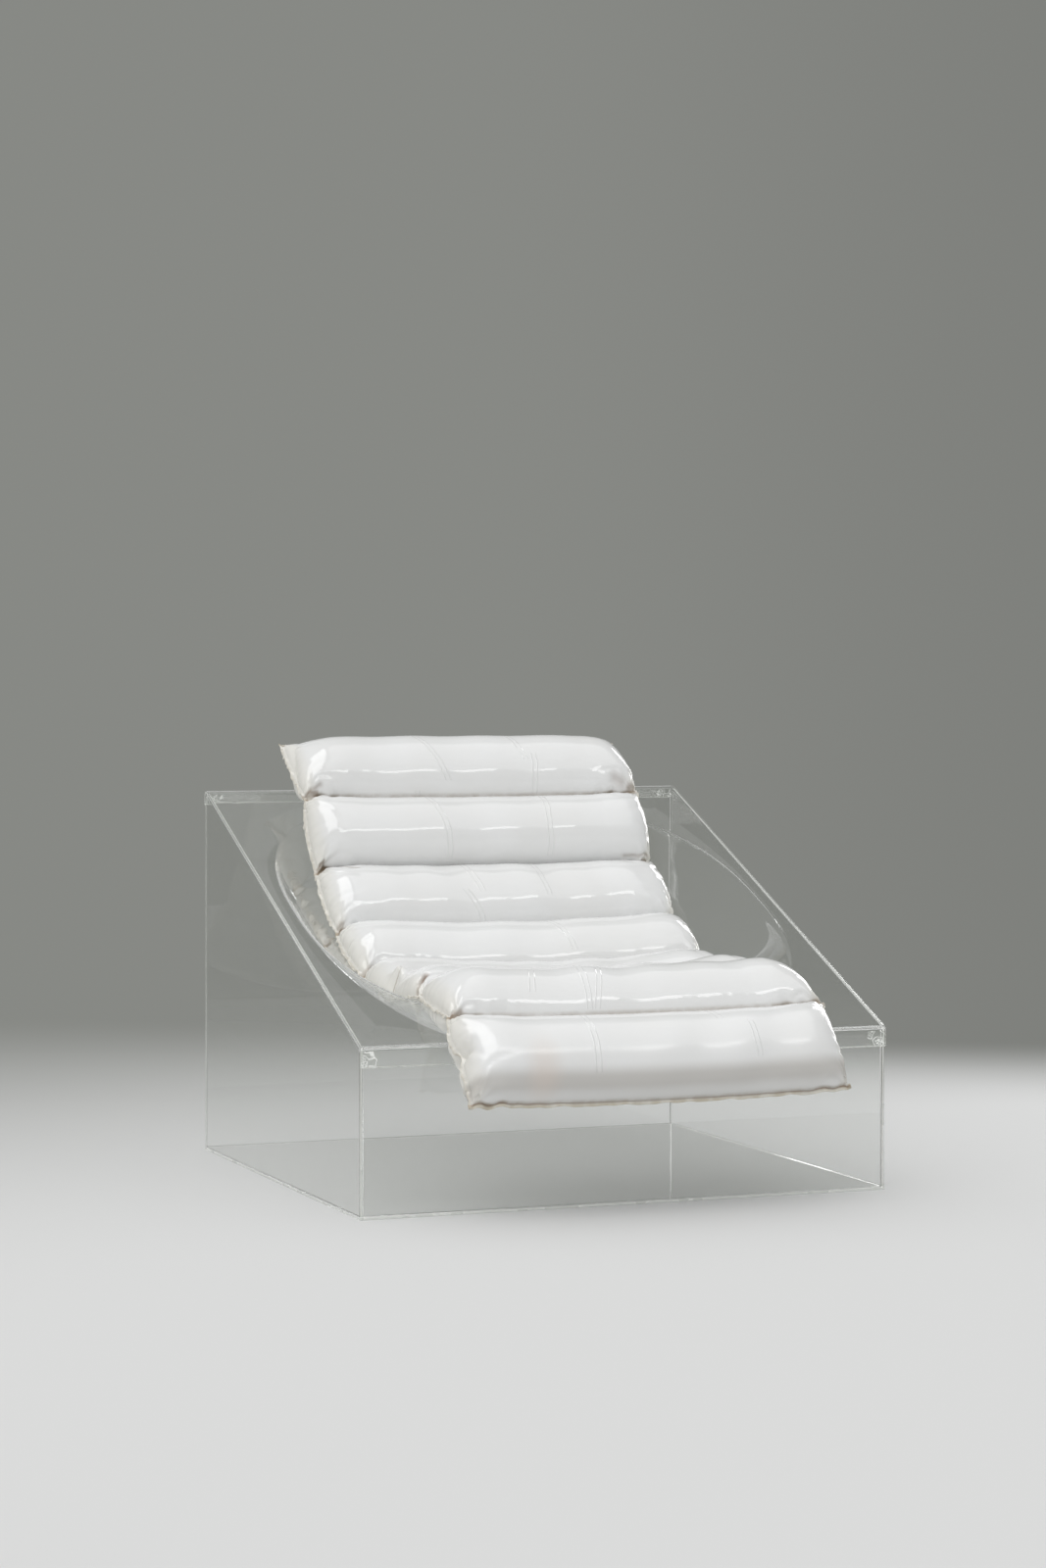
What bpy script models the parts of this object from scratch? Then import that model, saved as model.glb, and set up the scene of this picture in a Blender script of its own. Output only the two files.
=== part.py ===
"""Lounge chair: a clear acrylic box with a blown bucket seat, and a loose white vinyl cushion in eight channels.

Metres, +Z up. The origin is the centre of the base panel's underside. The front faces -Y, and left is -X.
The seat is one sheet that slopes from the back down to the front. An oval bowl is blown into it, and its
front and back edges are bent down into lips that lap over the box like a lid.
"""
import math

import bmesh
import bpy
import numpy as np
from mathutils import Vector
from mathutils.bvhtree import BVHTree

# Box
box_width = 0.870
box_depth = 0.832
back_height = 0.616
front_height = 0.260
wall_sheet = 0.005
base_sheet = 0.005
touch_gap = 0.0003

# Seat moulding
seat_sheet = 0.005
lap_gap = 0.001
bend_radius = 0.010
front_lip = 0.034
back_lip = 0.027
side_land = 0.030
front_land = 0.037
back_land = 0.048
bowl_depth = 0.192
bowl_outline_power = 2.5
bowl_wall_power = 0.85
rim_outer_share = 1.012
rim_inner_share = 0.975
ring_shares = (1.0, 0.9875, 0.975, 0.94, 0.88, 0.80, 0.70, 0.58, 0.44, 0.28, 0.12)
columns_across = 14
columns_along = 12
bend_steps = 5

# Corners of the side panels, and the spots of cement between lips and box
panel_corner_radius = 0.009
corner_steps = 5
cement_film = 0.0004
cement_width = 0.030
cement_margin = 0.001
cement_corner_radius = 0.005

# Cushion
cushion_half_width = 0.310
seam_draw_in = 0.007
skin = 0.0012
cover_gap = 0.0008
stitch_land = 0.003
flange = 0.005
top_crown = 0.055
under_crown = 0.047
end_taper = 0.065
fill_gap = 0.0003
fill_inset = 0.0035
rest_gap = 0.0006
end_power = 2.2
draw_in_power = 0.7
arc_steps = 5
taper_shares = (0.0, 0.12, 0.42, 1.0)
cell_shares = (0.0, 0.25, 0.5, 0.75, 1.0)
settle_rounds = 10

# Cross seams from back to front, at the cushion's ends: places as shares of the box's depth, heights above
# the seat's slope as shares of the bowl's depth, and how far the middle hangs lower, as shares of that depth
seam_place_shares = (0.975, 0.831, 0.754, 0.625, 0.472, 0.304, 0.135, -0.036, -0.131)
seam_rise_shares = (0.425, 0.245, -0.235, -0.490, -0.530, -0.362, 0.060, 0.265, -0.190)
seam_sag_shares = (0.020, 0.020, 0.030, 0.045, 0.110, 0.125, 0.060, 0.030, 0.070)

# What follows from those
channels = len(seam_place_shares) - 1
front_face = -box_depth / 2
back_face = box_depth / 2
slope = math.atan2(back_height - front_height, box_depth)
slant_length = math.hypot(box_depth, back_height - front_height)
bowl_half_width = box_width / 2 - side_land
bowl_half_length = (slant_length - front_land - back_land) / 2
bowl_centre = front_land + bowl_half_length
front_lip_face = front_face - lap_gap - seat_sheet
back_lip_face = back_face + lap_gap + seat_sheet
wall_bottom = base_sheet + touch_gap


def slope_height(y):
    """Height of the seat's flat top surface at y."""
    return front_height + (y - front_face) * math.tan(slope)


front_bend_y = front_lip_face + bend_radius
back_bend_y = back_lip_face - bend_radius
front_bend_z = slope_height(front_bend_y) - bend_radius / math.cos(slope)
back_bend_z = slope_height(back_bend_y) - bend_radius / math.cos(slope)
front_lip_end = front_height - front_lip
back_lip_end = back_height - back_lip


def along_slope(y):
    """Distance up the slope from the front panel's face, for a point of the slope at y."""
    return (y - front_face) / math.cos(slope)


flat_start = along_slope(front_bend_y - bend_radius * math.sin(slope))
flat_end = along_slope(back_bend_y - bend_radius * math.sin(slope))


def bowl_profile(share):
    """Depth of the bowl where share runs from 0 at its centre to 1 at its rim.

    The wall is depth * (1 - share^2)^power, and a cubic rounds the rim into the flat sheet.
    """
    share = np.asarray(share, float)
    wall = bowl_depth * np.clip(1 - share**2, 0, None) ** bowl_wall_power
    at_inner = bowl_depth * (1 - rim_inner_share**2) ** bowl_wall_power
    inner_slope = -2 * rim_inner_share * bowl_wall_power * at_inner / (1 - rim_inner_share**2)
    span = rim_outer_share - rim_inner_share
    t = np.clip((share - rim_inner_share) / span, 0, 1)
    rim = (2 * t**3 - 3 * t**2 + 1) * at_inner + (t**3 - 2 * t**2 + t) * span * inner_slope
    return np.where(share > rim_inner_share, rim, wall)


def bowl_share(x, s):
    """The share of the way from the bowl's centre to its rim, a superellipse, at x and s up the slope."""
    across = np.abs(x / bowl_half_width) ** bowl_outline_power
    along = np.abs((s - bowl_centre) / bowl_half_length) ** bowl_outline_power
    return (across + along) ** (1 / bowl_outline_power)


def seat_point(x, s):
    """The seat's top surface at x and s: the slope, less the bowl's depth square to it."""
    depth = bowl_profile(bowl_share(x, s))
    y = front_face + s * math.cos(slope) + depth * math.sin(slope)
    z = front_height + s * math.sin(slope) - depth * math.cos(slope)
    return np.stack(np.broadcast_arrays(x, y, z), -1)


def make_material(name, colour, roughness, transmission=0.0):
    """A Principled material; transmission above zero makes it clear acrylic."""
    material = bpy.data.materials.new(name)
    material.use_nodes = True
    shader = material.node_tree.nodes["Principled BSDF"]
    shader.inputs["Base Color"].default_value = (*colour, 1.0)
    shader.inputs["Roughness"].default_value = roughness
    shader.inputs["Metallic"].default_value = 0.0
    shader.inputs["Transmission Weight"].default_value = transmission
    shader.inputs["IOR"].default_value = 1.49
    return material


def finish(obj, collection, material):
    """Puts the object in the collection alone, and gives it its material."""
    for other in list(obj.users_collection):
        other.objects.unlink(obj)
    collection.objects.link(obj)
    obj.data.materials.clear()
    obj.data.materials.append(material)
    return obj


def acrylic(name):
    return make_material(name + "_acrylic", (0.93, 0.95, 0.94), 0.02, 1.0)


def add_box(name, low, high, collection):
    """A flat panel between two corners, from the cube primitive."""
    bpy.ops.mesh.primitive_cube_add(size=1)
    obj = bpy.context.object
    obj.name = name
    obj.data.name = name
    middle = [(a + b) / 2 for a, b in zip(low, high)]
    size = [b - a for a, b in zip(low, high)]
    for vertex in obj.data.vertices:
        vertex.co = [c * d for c, d in zip(vertex.co, size)]
    obj.location = middle
    return finish(obj, collection, acrylic(name))


def rounded(corners, radii):
    """Points of a closed outline whose corners are rounded by arcs; a radius of zero leaves a corner sharp."""
    points = []
    count = len(corners)
    for i, (corner, radius) in enumerate(zip(corners, radii)):
        here = np.array(corner)
        if radius == 0:
            points.append(here)
            continue
        to_last = np.array(corners[i - 1]) - here
        to_next = np.array(corners[(i + 1) % count]) - here
        to_last /= np.linalg.norm(to_last)
        to_next /= np.linalg.norm(to_next)
        half = math.acos(float(to_last @ to_next)) / 2
        inward = (to_last + to_next) / np.linalg.norm(to_last + to_next)
        centre = here + inward * radius / math.sin(half)
        first = here + to_last * radius / math.tan(half) - centre
        last = here + to_next * radius / math.tan(half) - centre
        turn = math.atan2(first[0] * last[1] - first[1] * last[0], float(first @ last))
        for k in range(corner_steps + 1):
            angle = turn * k / corner_steps
            cos, sin = math.cos(angle), math.sin(angle)
            points.append(centre + [first[0] * cos - first[1] * sin, first[0] * sin + first[1] * cos])
    return points


def add_flat(name, outline, thickness, location, rotation, collection, material):
    """A flat sheet: a filled 2D curve through the outline's points, extruded to its thickness."""
    curve = bpy.data.curves.new(name, "CURVE")
    curve.dimensions = "2D"
    curve.fill_mode = "BOTH"
    curve.extrude = thickness / 2
    spline = curve.splines.new("POLY")
    spline.points.add(len(outline) - 1)
    for point, place in zip(spline.points, outline):
        point.co = (place[0], place[1], 0, 1)
    spline.use_cyclic_u = True
    obj = bpy.data.objects.new(name, curve)
    obj.location = location
    obj.rotation_euler = rotation
    return finish(obj, collection, material)


def make_side_panel(name, side, collection):
    """A side wall: upright ends, a foot on the base, and a top edge one sheet below the seat's slope."""
    drop = (seat_sheet + touch_gap) / math.cos(slope)
    corners = [
        (front_face, wall_bottom),
        (back_face, wall_bottom),
        (back_face, slope_height(back_face) - drop),
        (front_face, slope_height(front_face) - drop),
    ]
    outline = rounded(corners, (0, 0, panel_corner_radius, panel_corner_radius))
    place = (side * (box_width - wall_sheet) / 2, 0, 0)
    upright = (math.radians(90), 0, math.radians(90))
    return add_flat(name, outline, wall_sheet, place, upright, collection, acrylic(name))


def wall_top(face, bend_y, bend_z):
    """The height at which a wall's square top edge stays clear of the inside of the seat's bend."""
    inner = bend_radius - seat_sheet - touch_gap
    return bend_z + math.sqrt(inner**2 - (bend_y - face) ** 2)


def make_box(collection):
    """The base, with the four walls standing on it; front and back fit between the sides."""
    half = box_width / 2
    add_box("base_panel", (-half, front_face, 0), (half, back_face, base_sheet), collection)
    make_side_panel("left_side_panel", -1, collection)
    make_side_panel("right_side_panel", 1, collection)
    inside = half - wall_sheet - touch_gap
    top = wall_top(front_face, front_bend_y, front_bend_z)
    low = (-inside, front_face, wall_bottom)
    add_box("front_panel", low, (inside, front_face + wall_sheet, top), collection)
    top = wall_top(back_face, back_bend_y, back_bend_z)
    low = (-inside, back_face - wall_sheet, wall_bottom)
    add_box("back_panel", low, (inside, back_face, top), collection)


def border_places():
    """Places (x, s) round the flat sheet's edge: along the front, up the right, back and down the left."""
    half = box_width / 2
    across = np.linspace(-half, half, columns_across + 1)
    along = np.linspace(flat_start, flat_end, columns_along + 1)
    places = [(x, flat_start) for x in across[:-1]]
    places += [(half, s) for s in along[:-1]]
    places += [(x, flat_end) for x in across[:0:-1]]
    places += [(-half, s) for s in along[:0:-1]]
    return np.array(places)


def lip_section(bend_y, bend_z, face, end_z, last_angle):
    """The (y, z) points past the flat sheet: round the bend to last_angle, then down the lip."""
    first_angle = math.radians(90) + slope
    points = []
    for k in range(1, bend_steps + 1):
        angle = first_angle + (last_angle - first_angle) * k / bend_steps
        points.append((bend_y + bend_radius * math.cos(angle), bend_z + bend_radius * math.sin(angle)))
    points.append((face, end_z))
    return points


def make_seat(collection):
    """The seat: rings from the bowl's centre out to the rectangular edge, with a lip along front and back."""
    edge = border_places()
    count = len(edge)
    shares = bowl_share(edge[:, 0], edge[:, 1])
    spokes = (edge - [0, bowl_centre]) / shares[:, None]
    rings = [edge]
    rings += [[0, bowl_centre] + spokes * share for share in (rim_outer_share, *ring_shares)]
    mesh = bmesh.new()
    rows = []
    for ring in rings:
        rows.append([mesh.verts.new(p) for p in seat_point(ring[:, 0], ring[:, 1])])
    for outer, inner in zip(rows, rows[1:]):
        for k in range(count):
            n = (k + 1) % count
            mesh.faces.new((outer[k], outer[n], inner[n], inner[k]))
    centre = mesh.verts.new(seat_point(np.array(0.0), np.array(bowl_centre)))
    for k in range(count):
        mesh.faces.new((rows[-1][k], rows[-1][(k + 1) % count], centre))
    front = rows[0][: columns_across + 1]
    back = rows[0][columns_across + columns_along : 2 * columns_across + columns_along + 1]
    add_lip(mesh, front, lip_section(front_bend_y, front_bend_z, front_lip_face, front_lip_end, math.pi))
    add_lip(mesh, back, lip_section(back_bend_y, back_bend_z, back_lip_face, back_lip_end, 0))
    bmesh.ops.triangulate(mesh, faces=mesh.faces)
    obj = mesh_object("seat_moulding", mesh, collection, acrylic("seat_moulding"))
    shell = obj.modifiers.new("sheet", "SOLIDIFY")
    shell.thickness = seat_sheet
    shell.offset = -1
    shell.use_even_offset = True
    return obj


def add_lip(mesh, edge, section):
    """Carries an edge of the sheet, point by point, along a section in y and z."""
    last = edge
    for y, z in section:
        row = [mesh.verts.new((vertex.co.x, y, z)) for vertex in edge]
        for k in range(len(edge) - 1):
            mesh.faces.new((last[k + 1], last[k], row[k], row[k + 1]))
        last = row


def mesh_object(name, mesh, collection, material):
    """An object from a bmesh whose faces already wind outwards, shaded smooth away from its sharp edges."""
    data = bpy.data.meshes.new(name)
    mesh.to_mesh(data)
    mesh.free()
    obj = bpy.data.objects.new(name, data)
    finish(obj, collection, material)
    data.shade_smooth()
    data.set_sharp_from_angle(angle=math.radians(50))
    return obj


def make_cement(collection):
    """Four spots of cement that hold the lips to the box, one in each corner, up to where the bends begin."""
    ends = (
        ("front", front_face - lap_gap / 2, front_lip_end + cement_margin, front_bend_z),
        ("back", back_face + lap_gap / 2, back_lip_end + cement_margin, back_bend_z),
    )
    reach = cement_width / 2
    across = box_width / 2 - cement_margin - reach
    for end, y, low, high in ends:
        rise = (high - low) / 2
        corners = [(-reach, -rise), (reach, -rise), (reach, rise), (-reach, rise)]
        outline = rounded(corners, [cement_corner_radius] * 4)
        for side, sign in (("left", -1), ("right", 1)):
            name = f"cement_spot_{end}_{side}"
            material = make_material(name, (0.82, 0.83, 0.78), 0.3, 0.6)
            place = (sign * across, y, low + rise)
            add_flat(name, outline, cement_film, place, (math.radians(90), 0, 0), collection, material)


def seam_places():
    """The cross seams at the cushion's ends as (y, z), and the direction square to the cushion at each."""
    y = front_face + np.array(seam_place_shares) * box_depth
    z = slope_height(y) + np.array(seam_rise_shares) * bowl_depth
    places = np.stack([y, z], 1)
    chords = np.diff(places, axis=0)
    square = np.stack([chords[:, 1], -chords[:, 0]], 1)
    square /= np.linalg.norm(square, axis=1)[:, None]
    normals = np.vstack([square[:1], square[:-1] + square[1:], square[-1:]])
    normals /= np.linalg.norm(normals, axis=1)[:, None]
    return places, normals


def channel_length(channel):
    """The distance across a channel, from its back seam to its front seam."""
    places, _ = seam_places()
    return float(np.linalg.norm(places[channel + 1] - places[channel]))


def half_width(channel, along):
    """Half the width inside the flanges: drawn in at the cross seams, and full elsewhere, also at both ends."""
    t = np.clip(along / channel_length(channel), 0, 1)
    if channel == 0:
        t = np.maximum(t, 0.5)
    if channel == channels - 1:
        t = np.minimum(t, 0.5)
    return cushion_half_width - flange - seam_draw_in * (1 - np.sin(math.pi * t) ** draw_in_power)


def rows_of(channel):
    """Distances of a channel's rows from its back seam, spaced evenly round its arc between the lands."""
    middle = channel_length(channel) / 2
    reach = middle - stitch_land / 2
    return middle + reach * np.sin(np.linspace(-math.pi / 2, math.pi / 2, arc_steps + 1))


def columns_of(side):
    """x of each row's columns: over the flange, close together where the end rounds over, and the middle."""
    right = np.stack([side - end_taper * share for share in reversed(taper_shares)] + [side + flange], 1)
    return np.hstack([-right[:, ::-1], np.zeros((len(side), 1)), right])


def height_over(tree, points):
    """How far each point is from the seat's top surface; less than zero is below it."""
    found = np.empty(points.shape[:-1])
    for place in np.ndindex(found.shape):
        point = Vector(points[place])
        near, normal, _, _ = tree.find_nearest(point)
        found[place] = (point - near).dot(normal)
    return found


def clear_of_seat(tree, points, up, height, clearance, least):
    """Cuts the height below the points, no lower than least, until the seat is at least the clearance away.

    It looks at the corners of each cell of the grid, and all over the cell between them.
    """
    for _ in range(settle_rounds):
        under = points - up * height[..., None]
        short = np.zeros(height.shape)
        corners = (short[:-1, :-1], short[:-1, 1:], short[1:, :-1], short[1:, 1:])
        for down in cell_shares:
            row = under[:-1] * (1 - down) + under[1:] * down
            for over in cell_shares:
                place = row[:, :-1] * (1 - over) + row[:, 1:] * over
                lack = clearance - height_over(tree, place)
                for corner in corners:
                    np.maximum(corner, lack, out=corner)
        height = np.maximum(height - short, least)
    return height


def middle_surface(tree, channel, along, across):
    """The surface midway between the covers, and the direction square to it.

    The middle of the cushion hangs lower than its ends by the seams' sag times 1 - (x / half width)^2,
    and all of it is lifted where that would sink it into the seat.
    """
    places, normals = seam_places()
    sag = np.array(seam_sag_shares) * bowl_depth
    t = along / channel_length(channel)
    yz = (1 - t)[:, None] * places[channel] + t[:, None] * places[channel + 1]
    blend = np.clip(t, 0, 1)
    normal = (1 - blend)[:, None] * normals[channel] + blend[:, None] * normals[channel + 1]
    normal /= np.linalg.norm(normal, axis=1)[:, None]
    hang = (1 - blend) * sag[channel] + blend * sag[channel + 1]
    lower = hang[:, None] * (1 - (across / cushion_half_width) ** 2)
    y, z = np.broadcast_to(yz.T[..., None], (2, *across.shape))
    points = np.stack([across, y, z], -1)
    up = np.zeros_like(points)
    up[..., 1:] = normal[:, None, :]
    clearance = rest_gap + 2 * skin + cover_gap + fill_gap
    lower = clear_of_seat(tree, points, up, lower, clearance, -math.inf)
    tilt = [np.gradient(row, x) for row, x in zip(lower, across)]
    square = up + np.stack(tilt)[..., None] * [1, 0, 0]
    square /= np.linalg.norm(square, axis=-1)[..., None]
    return points - up * lower[..., None], square


def swell(channel, along, across, crown):
    """Height of a channel over the middle surface: an arc between its seams, drawn down to its two ends.

    An end falls away as the square root of 1 - (1 - q)^power, where q runs from 0 at the end to 1.
    """
    middle = channel_length(channel) / 2
    half = middle - stitch_land / 2
    radius = (half**2 + crown**2) / (2 * crown)
    away = np.clip(np.abs(along - middle), 0, half)
    arc = np.sqrt(radius**2 - away**2) - (radius - crown)
    q = np.clip((half_width(channel, along)[:, None] - np.abs(across)) / end_taper, 0, 1)
    return arc[:, None] * np.sqrt(1 - (1 - q) ** end_power)


def channel_shape(tree, channel):
    """A channel's grid: distance along, x, middle surface, direction square to it, and heights up and down.

    The first and last channels have one more row, at the outer edge of the end flange.
    """
    along = rows_of(channel)
    if channel == 0:
        along = np.append(-flange, along)
    if channel == channels - 1:
        along = np.append(along, channel_length(channel) + flange)
    across = columns_of(half_width(channel, along))
    middle, square = middle_surface(tree, channel, along, across)
    crown = swell(channel, along, across, top_crown)
    belly = swell(channel, along, across, under_crown)
    under = middle - square * (skin + cover_gap / 2)
    belly = clear_of_seat(tree, under, square, belly, rest_gap, 0)
    return along, across, middle, square, crown, belly


def add_grid(mesh, rows, facing):
    """Faces over rows of vertices. facing is 1 for faces that look up and -1 for down."""
    for last, row in zip(rows, rows[1:]):
        for k in range(len(row) - 1):
            corners = (last[k], row[k], row[k + 1], last[k + 1])
            mesh.faces.new(corners[::facing])


def make_cover(name, grid, facing, collection):
    """One cover: its outer surface, with the vinyl's thickness inside."""
    mesh = bmesh.new()
    add_grid(mesh, [[mesh.verts.new(point) for point in row] for row in grid], facing)
    material = make_material(name, (0.90, 0.89, 0.86), 0.28)
    obj = mesh_object(name, mesh, collection, material)
    shell = obj.modifiers.new("vinyl", "SOLIDIFY")
    shell.thickness = skin
    shell.offset = -1
    shell.use_even_offset = True


def drawn_in(places):
    """Weights that carry values at rising places to the same places, drawn in by the filling's inset."""
    middle = (places[0] + places[-1]) / 2
    share = 1 - 2 * fill_inset / (places[-1] - places[0])
    moved = middle + (places - middle) * share
    return np.stack([np.interp(moved, places, row) for row in np.eye(len(places))], 1)


def make_filling(channel, shape, collection):
    """The padding of one channel: a closed roll, its top and underside meeting in an edge at the seams."""
    first = 1 if channel == 0 else 0
    last = -1 if channel == channels - 1 else None
    along, across, middle, square, crown, belly = (part[first:last] for part in shape)
    across, middle, square, crown, belly = (part[:, 1:-1] for part in (across, middle, square, crown, belly))
    rows = drawn_in(along)
    columns = drawn_in(across[0])
    middle = np.einsum("ij,kl,jlc->ikc", rows, columns, middle)
    upper = middle + square * np.clip(crown - fill_gap, 0, None)[..., None]
    lower = middle - square * np.clip(belly - fill_gap, 0, None)[..., None]
    mesh = bmesh.new()
    high = [[mesh.verts.new(point) for point in row] for row in upper]
    low = [list(row) for row in high]
    for i in range(1, len(low) - 1):
        for k in range(1, len(low[i]) - 1):
            low[i][k] = mesh.verts.new(lower[i, k])
    add_grid(mesh, high, 1)
    add_grid(mesh, low, -1)
    name = f"filling_{channel + 1}"
    mesh_object(name, mesh, collection, make_material(name, (0.93, 0.91, 0.84), 0.9))


def make_cushion(seat, collection):
    """The loose cushion: two vinyl covers sewn together round the edge and along the seams, and its filling."""
    faces = [tuple(face.vertices) for face in seat.data.polygons]
    tree = BVHTree.FromPolygons([vertex.co for vertex in seat.data.vertices], faces)
    shapes = [channel_shape(tree, channel) for channel in range(channels)]
    base = skin + cover_gap / 2
    top = [middle + square * (base + crown)[..., None] for _, _, middle, square, crown, _ in shapes]
    bottom = [middle - square * (base + belly)[..., None] for _, _, middle, square, _, belly in shapes]
    make_cover("cushion_cover_top", np.concatenate(top), 1, collection)
    make_cover("cushion_cover_bottom", np.concatenate(bottom), -1, collection)
    for channel, shape in enumerate(shapes):
        make_filling(channel, shape, collection)


def main():
    for obj in list(bpy.data.objects):
        bpy.data.objects.remove(obj)
    chair = bpy.data.collections.new("lounge_chair")
    bpy.context.scene.collection.children.link(chair)
    make_box(chair)
    seat = make_seat(chair)
    make_cement(chair)
    make_cushion(seat, chair)


main()
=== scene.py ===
"""Lounge chair: a clear acrylic box with a blown seat, and a loose white vinyl cushion in eight channels.

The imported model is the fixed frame, in metres with +Z up. Each sheet of the box gets eased edges, the seat
gets its smooth blown surface, the cement its bubbles, and the cushion its sewn and filled covers.
"""
import math

import bpy
import numpy as np
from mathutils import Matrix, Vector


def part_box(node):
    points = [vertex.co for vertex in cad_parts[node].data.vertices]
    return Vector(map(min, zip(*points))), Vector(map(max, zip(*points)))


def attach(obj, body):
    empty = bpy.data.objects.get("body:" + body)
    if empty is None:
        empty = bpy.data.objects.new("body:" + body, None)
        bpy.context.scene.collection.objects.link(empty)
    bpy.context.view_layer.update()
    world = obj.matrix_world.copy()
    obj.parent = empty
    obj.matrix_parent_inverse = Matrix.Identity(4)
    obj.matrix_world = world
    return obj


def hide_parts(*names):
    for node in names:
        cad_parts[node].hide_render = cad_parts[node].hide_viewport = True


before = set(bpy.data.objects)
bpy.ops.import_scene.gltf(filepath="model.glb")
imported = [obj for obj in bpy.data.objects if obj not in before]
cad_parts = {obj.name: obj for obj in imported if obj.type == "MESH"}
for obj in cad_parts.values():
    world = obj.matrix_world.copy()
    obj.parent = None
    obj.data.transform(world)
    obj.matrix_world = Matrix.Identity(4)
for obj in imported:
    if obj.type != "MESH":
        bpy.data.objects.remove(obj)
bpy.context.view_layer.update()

bl_info = {
    "name": "Acrylic Lounge Chair",
    "version": (1, 0, 0),
    "blender": (4, 5, 0),
    "location": "3D View > Sidebar > Lounge Chair",
    "description": "Finishes an acrylic box chair and sews the channelled cushion that lies in it",
    "category": "Add Mesh",
}

# The camera: its place in metres, its turn to the right in degrees, its lens shift and its film's height in
# millimetres, and the direction to the right of its view
CAMERA_PLACE = (-2.0405, -5.2302, 0.7952)
CAMERA_TURN = 21.18
CAMERA_SHIFT = -0.0634
FILM_HEIGHT = 36.0
RIGHT_OF_VIEW = (0.9325, -0.3613, 0.0)

FLOOR_LEVEL = -0.0006
# Where the floor is brightest, and the radii of its rings
FLOOR_MIDDLE = (-0.13, -1.68, 0.0)
FLOOR_RINGS = (0.001, 1, 2, 4, 8, 16, 40)
FLOOR_SIDES = 96

ACRYLIC_IOR = 1.49
# After this many turns or mirrorings at acrylic surfaces a ray goes straight on, so none ends inside a sheet
MOST_TURNS = 7.5
MOST_MIRRORINGS = 1.5
# Faces that meet at more than this angle keep a sharp edge between them
SHARP_ANGLE = math.radians(40)

base_low, base_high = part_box("base_panel")
side_low, side_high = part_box("left_side_panel")
front_low, front_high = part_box("front_panel")
back_low, back_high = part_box("back_panel")


def size(name, description, default):
    """A length in metres."""
    return bpy.props.FloatProperty(name=name, description=description, default=default, unit="LENGTH")


def share(name, description, default):
    """A plain number, such as a share, a power or a strength."""
    return bpy.props.FloatProperty(name=name, description=description, default=default, precision=3)


def whole(name, description, default):
    """A whole number from 1 up."""
    return bpy.props.IntProperty(name=name, description=description, default=default, min=1)


def colour(name, description, default):
    """A colour as three shares."""
    return bpy.props.FloatVectorProperty(
        name=name, description=description, default=default, size=3, subtype="COLOR", min=0, max=1
    )


class BoxSettings(bpy.types.PropertyGroup):
    """The acrylic box."""

    back_height: size("Back height", "Height of the seat's slope at the back wall", 0.616)
    front_height: size("Front height", "Height of the seat's slope at the front wall", 0.260)
    sheet: size("Sheet", "Thickness of the acrylic sheet", base_high.z - base_low.z)
    touch_gap: size("Joint gap", "Gap between sheets that touch", side_low.z - base_high.z)
    edge_round: size("Edge round", "Radius of the polished edges", 0.0011)
    corner_radius: size("Corner radius", "Radius of the side walls' upper corners", 0.009)
    dust: share("Dust", "Share of the base that dust and fine scratches cover", 0.29)
    arc_steps: whole("Arc steps", "Steps round each corner", 12)
    edge_steps: whole("Edge steps", "Steps round each polished edge", 3)


class SeatSettings(bpy.types.PropertyGroup):
    """The blown seat."""

    lap_gap: size("Lap gap", "Gap between the walls and the lips outside them", 0.001)
    bend_radius: size("Bend radius", "Outer radius of the bends above the lips", 0.010)
    front_lip: size("Front lip", "How far the front lip hangs below the slope", 0.034)
    back_lip: size("Back lip", "How far the back lip hangs below the slope", 0.027)
    side_land: size("Side land", "Flat sheet left beside the bowl", 0.030)
    front_land: size("Front land", "Flat sheet left in front of the bowl", 0.037)
    back_land: size("Back land", "Flat sheet left behind the bowl", 0.048)
    bowl_depth: size("Bowl depth", "Depth of the bowl, square to the slope", 0.192)
    outline_power: share("Outline power", "Power of the rim's superellipse", 2.5)
    wall_power: share("Wall power", "Power of the bowl's wall", 0.85)
    rim_outer: share("Rim outer share", "Where the rim meets the flat sheet, as a share of the bowl", 1.012)
    rim_inner: share("Rim inner share", "Where the rim meets the wall, as a share of the bowl", 0.975)
    cells_across: whole("Cells across", "Cells along the front and the back edge", 72)
    cells_along: whole("Cells along", "Cells along each side edge", 72)
    wall_rings: whole("Wall rings", "Rings of the wall and the floor of the bowl", 52)
    rim_rings: whole("Rim rings", "Rings of the rounded rim", 10)
    bend_steps: whole("Bend steps", "Steps round each bend", 12)


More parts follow.
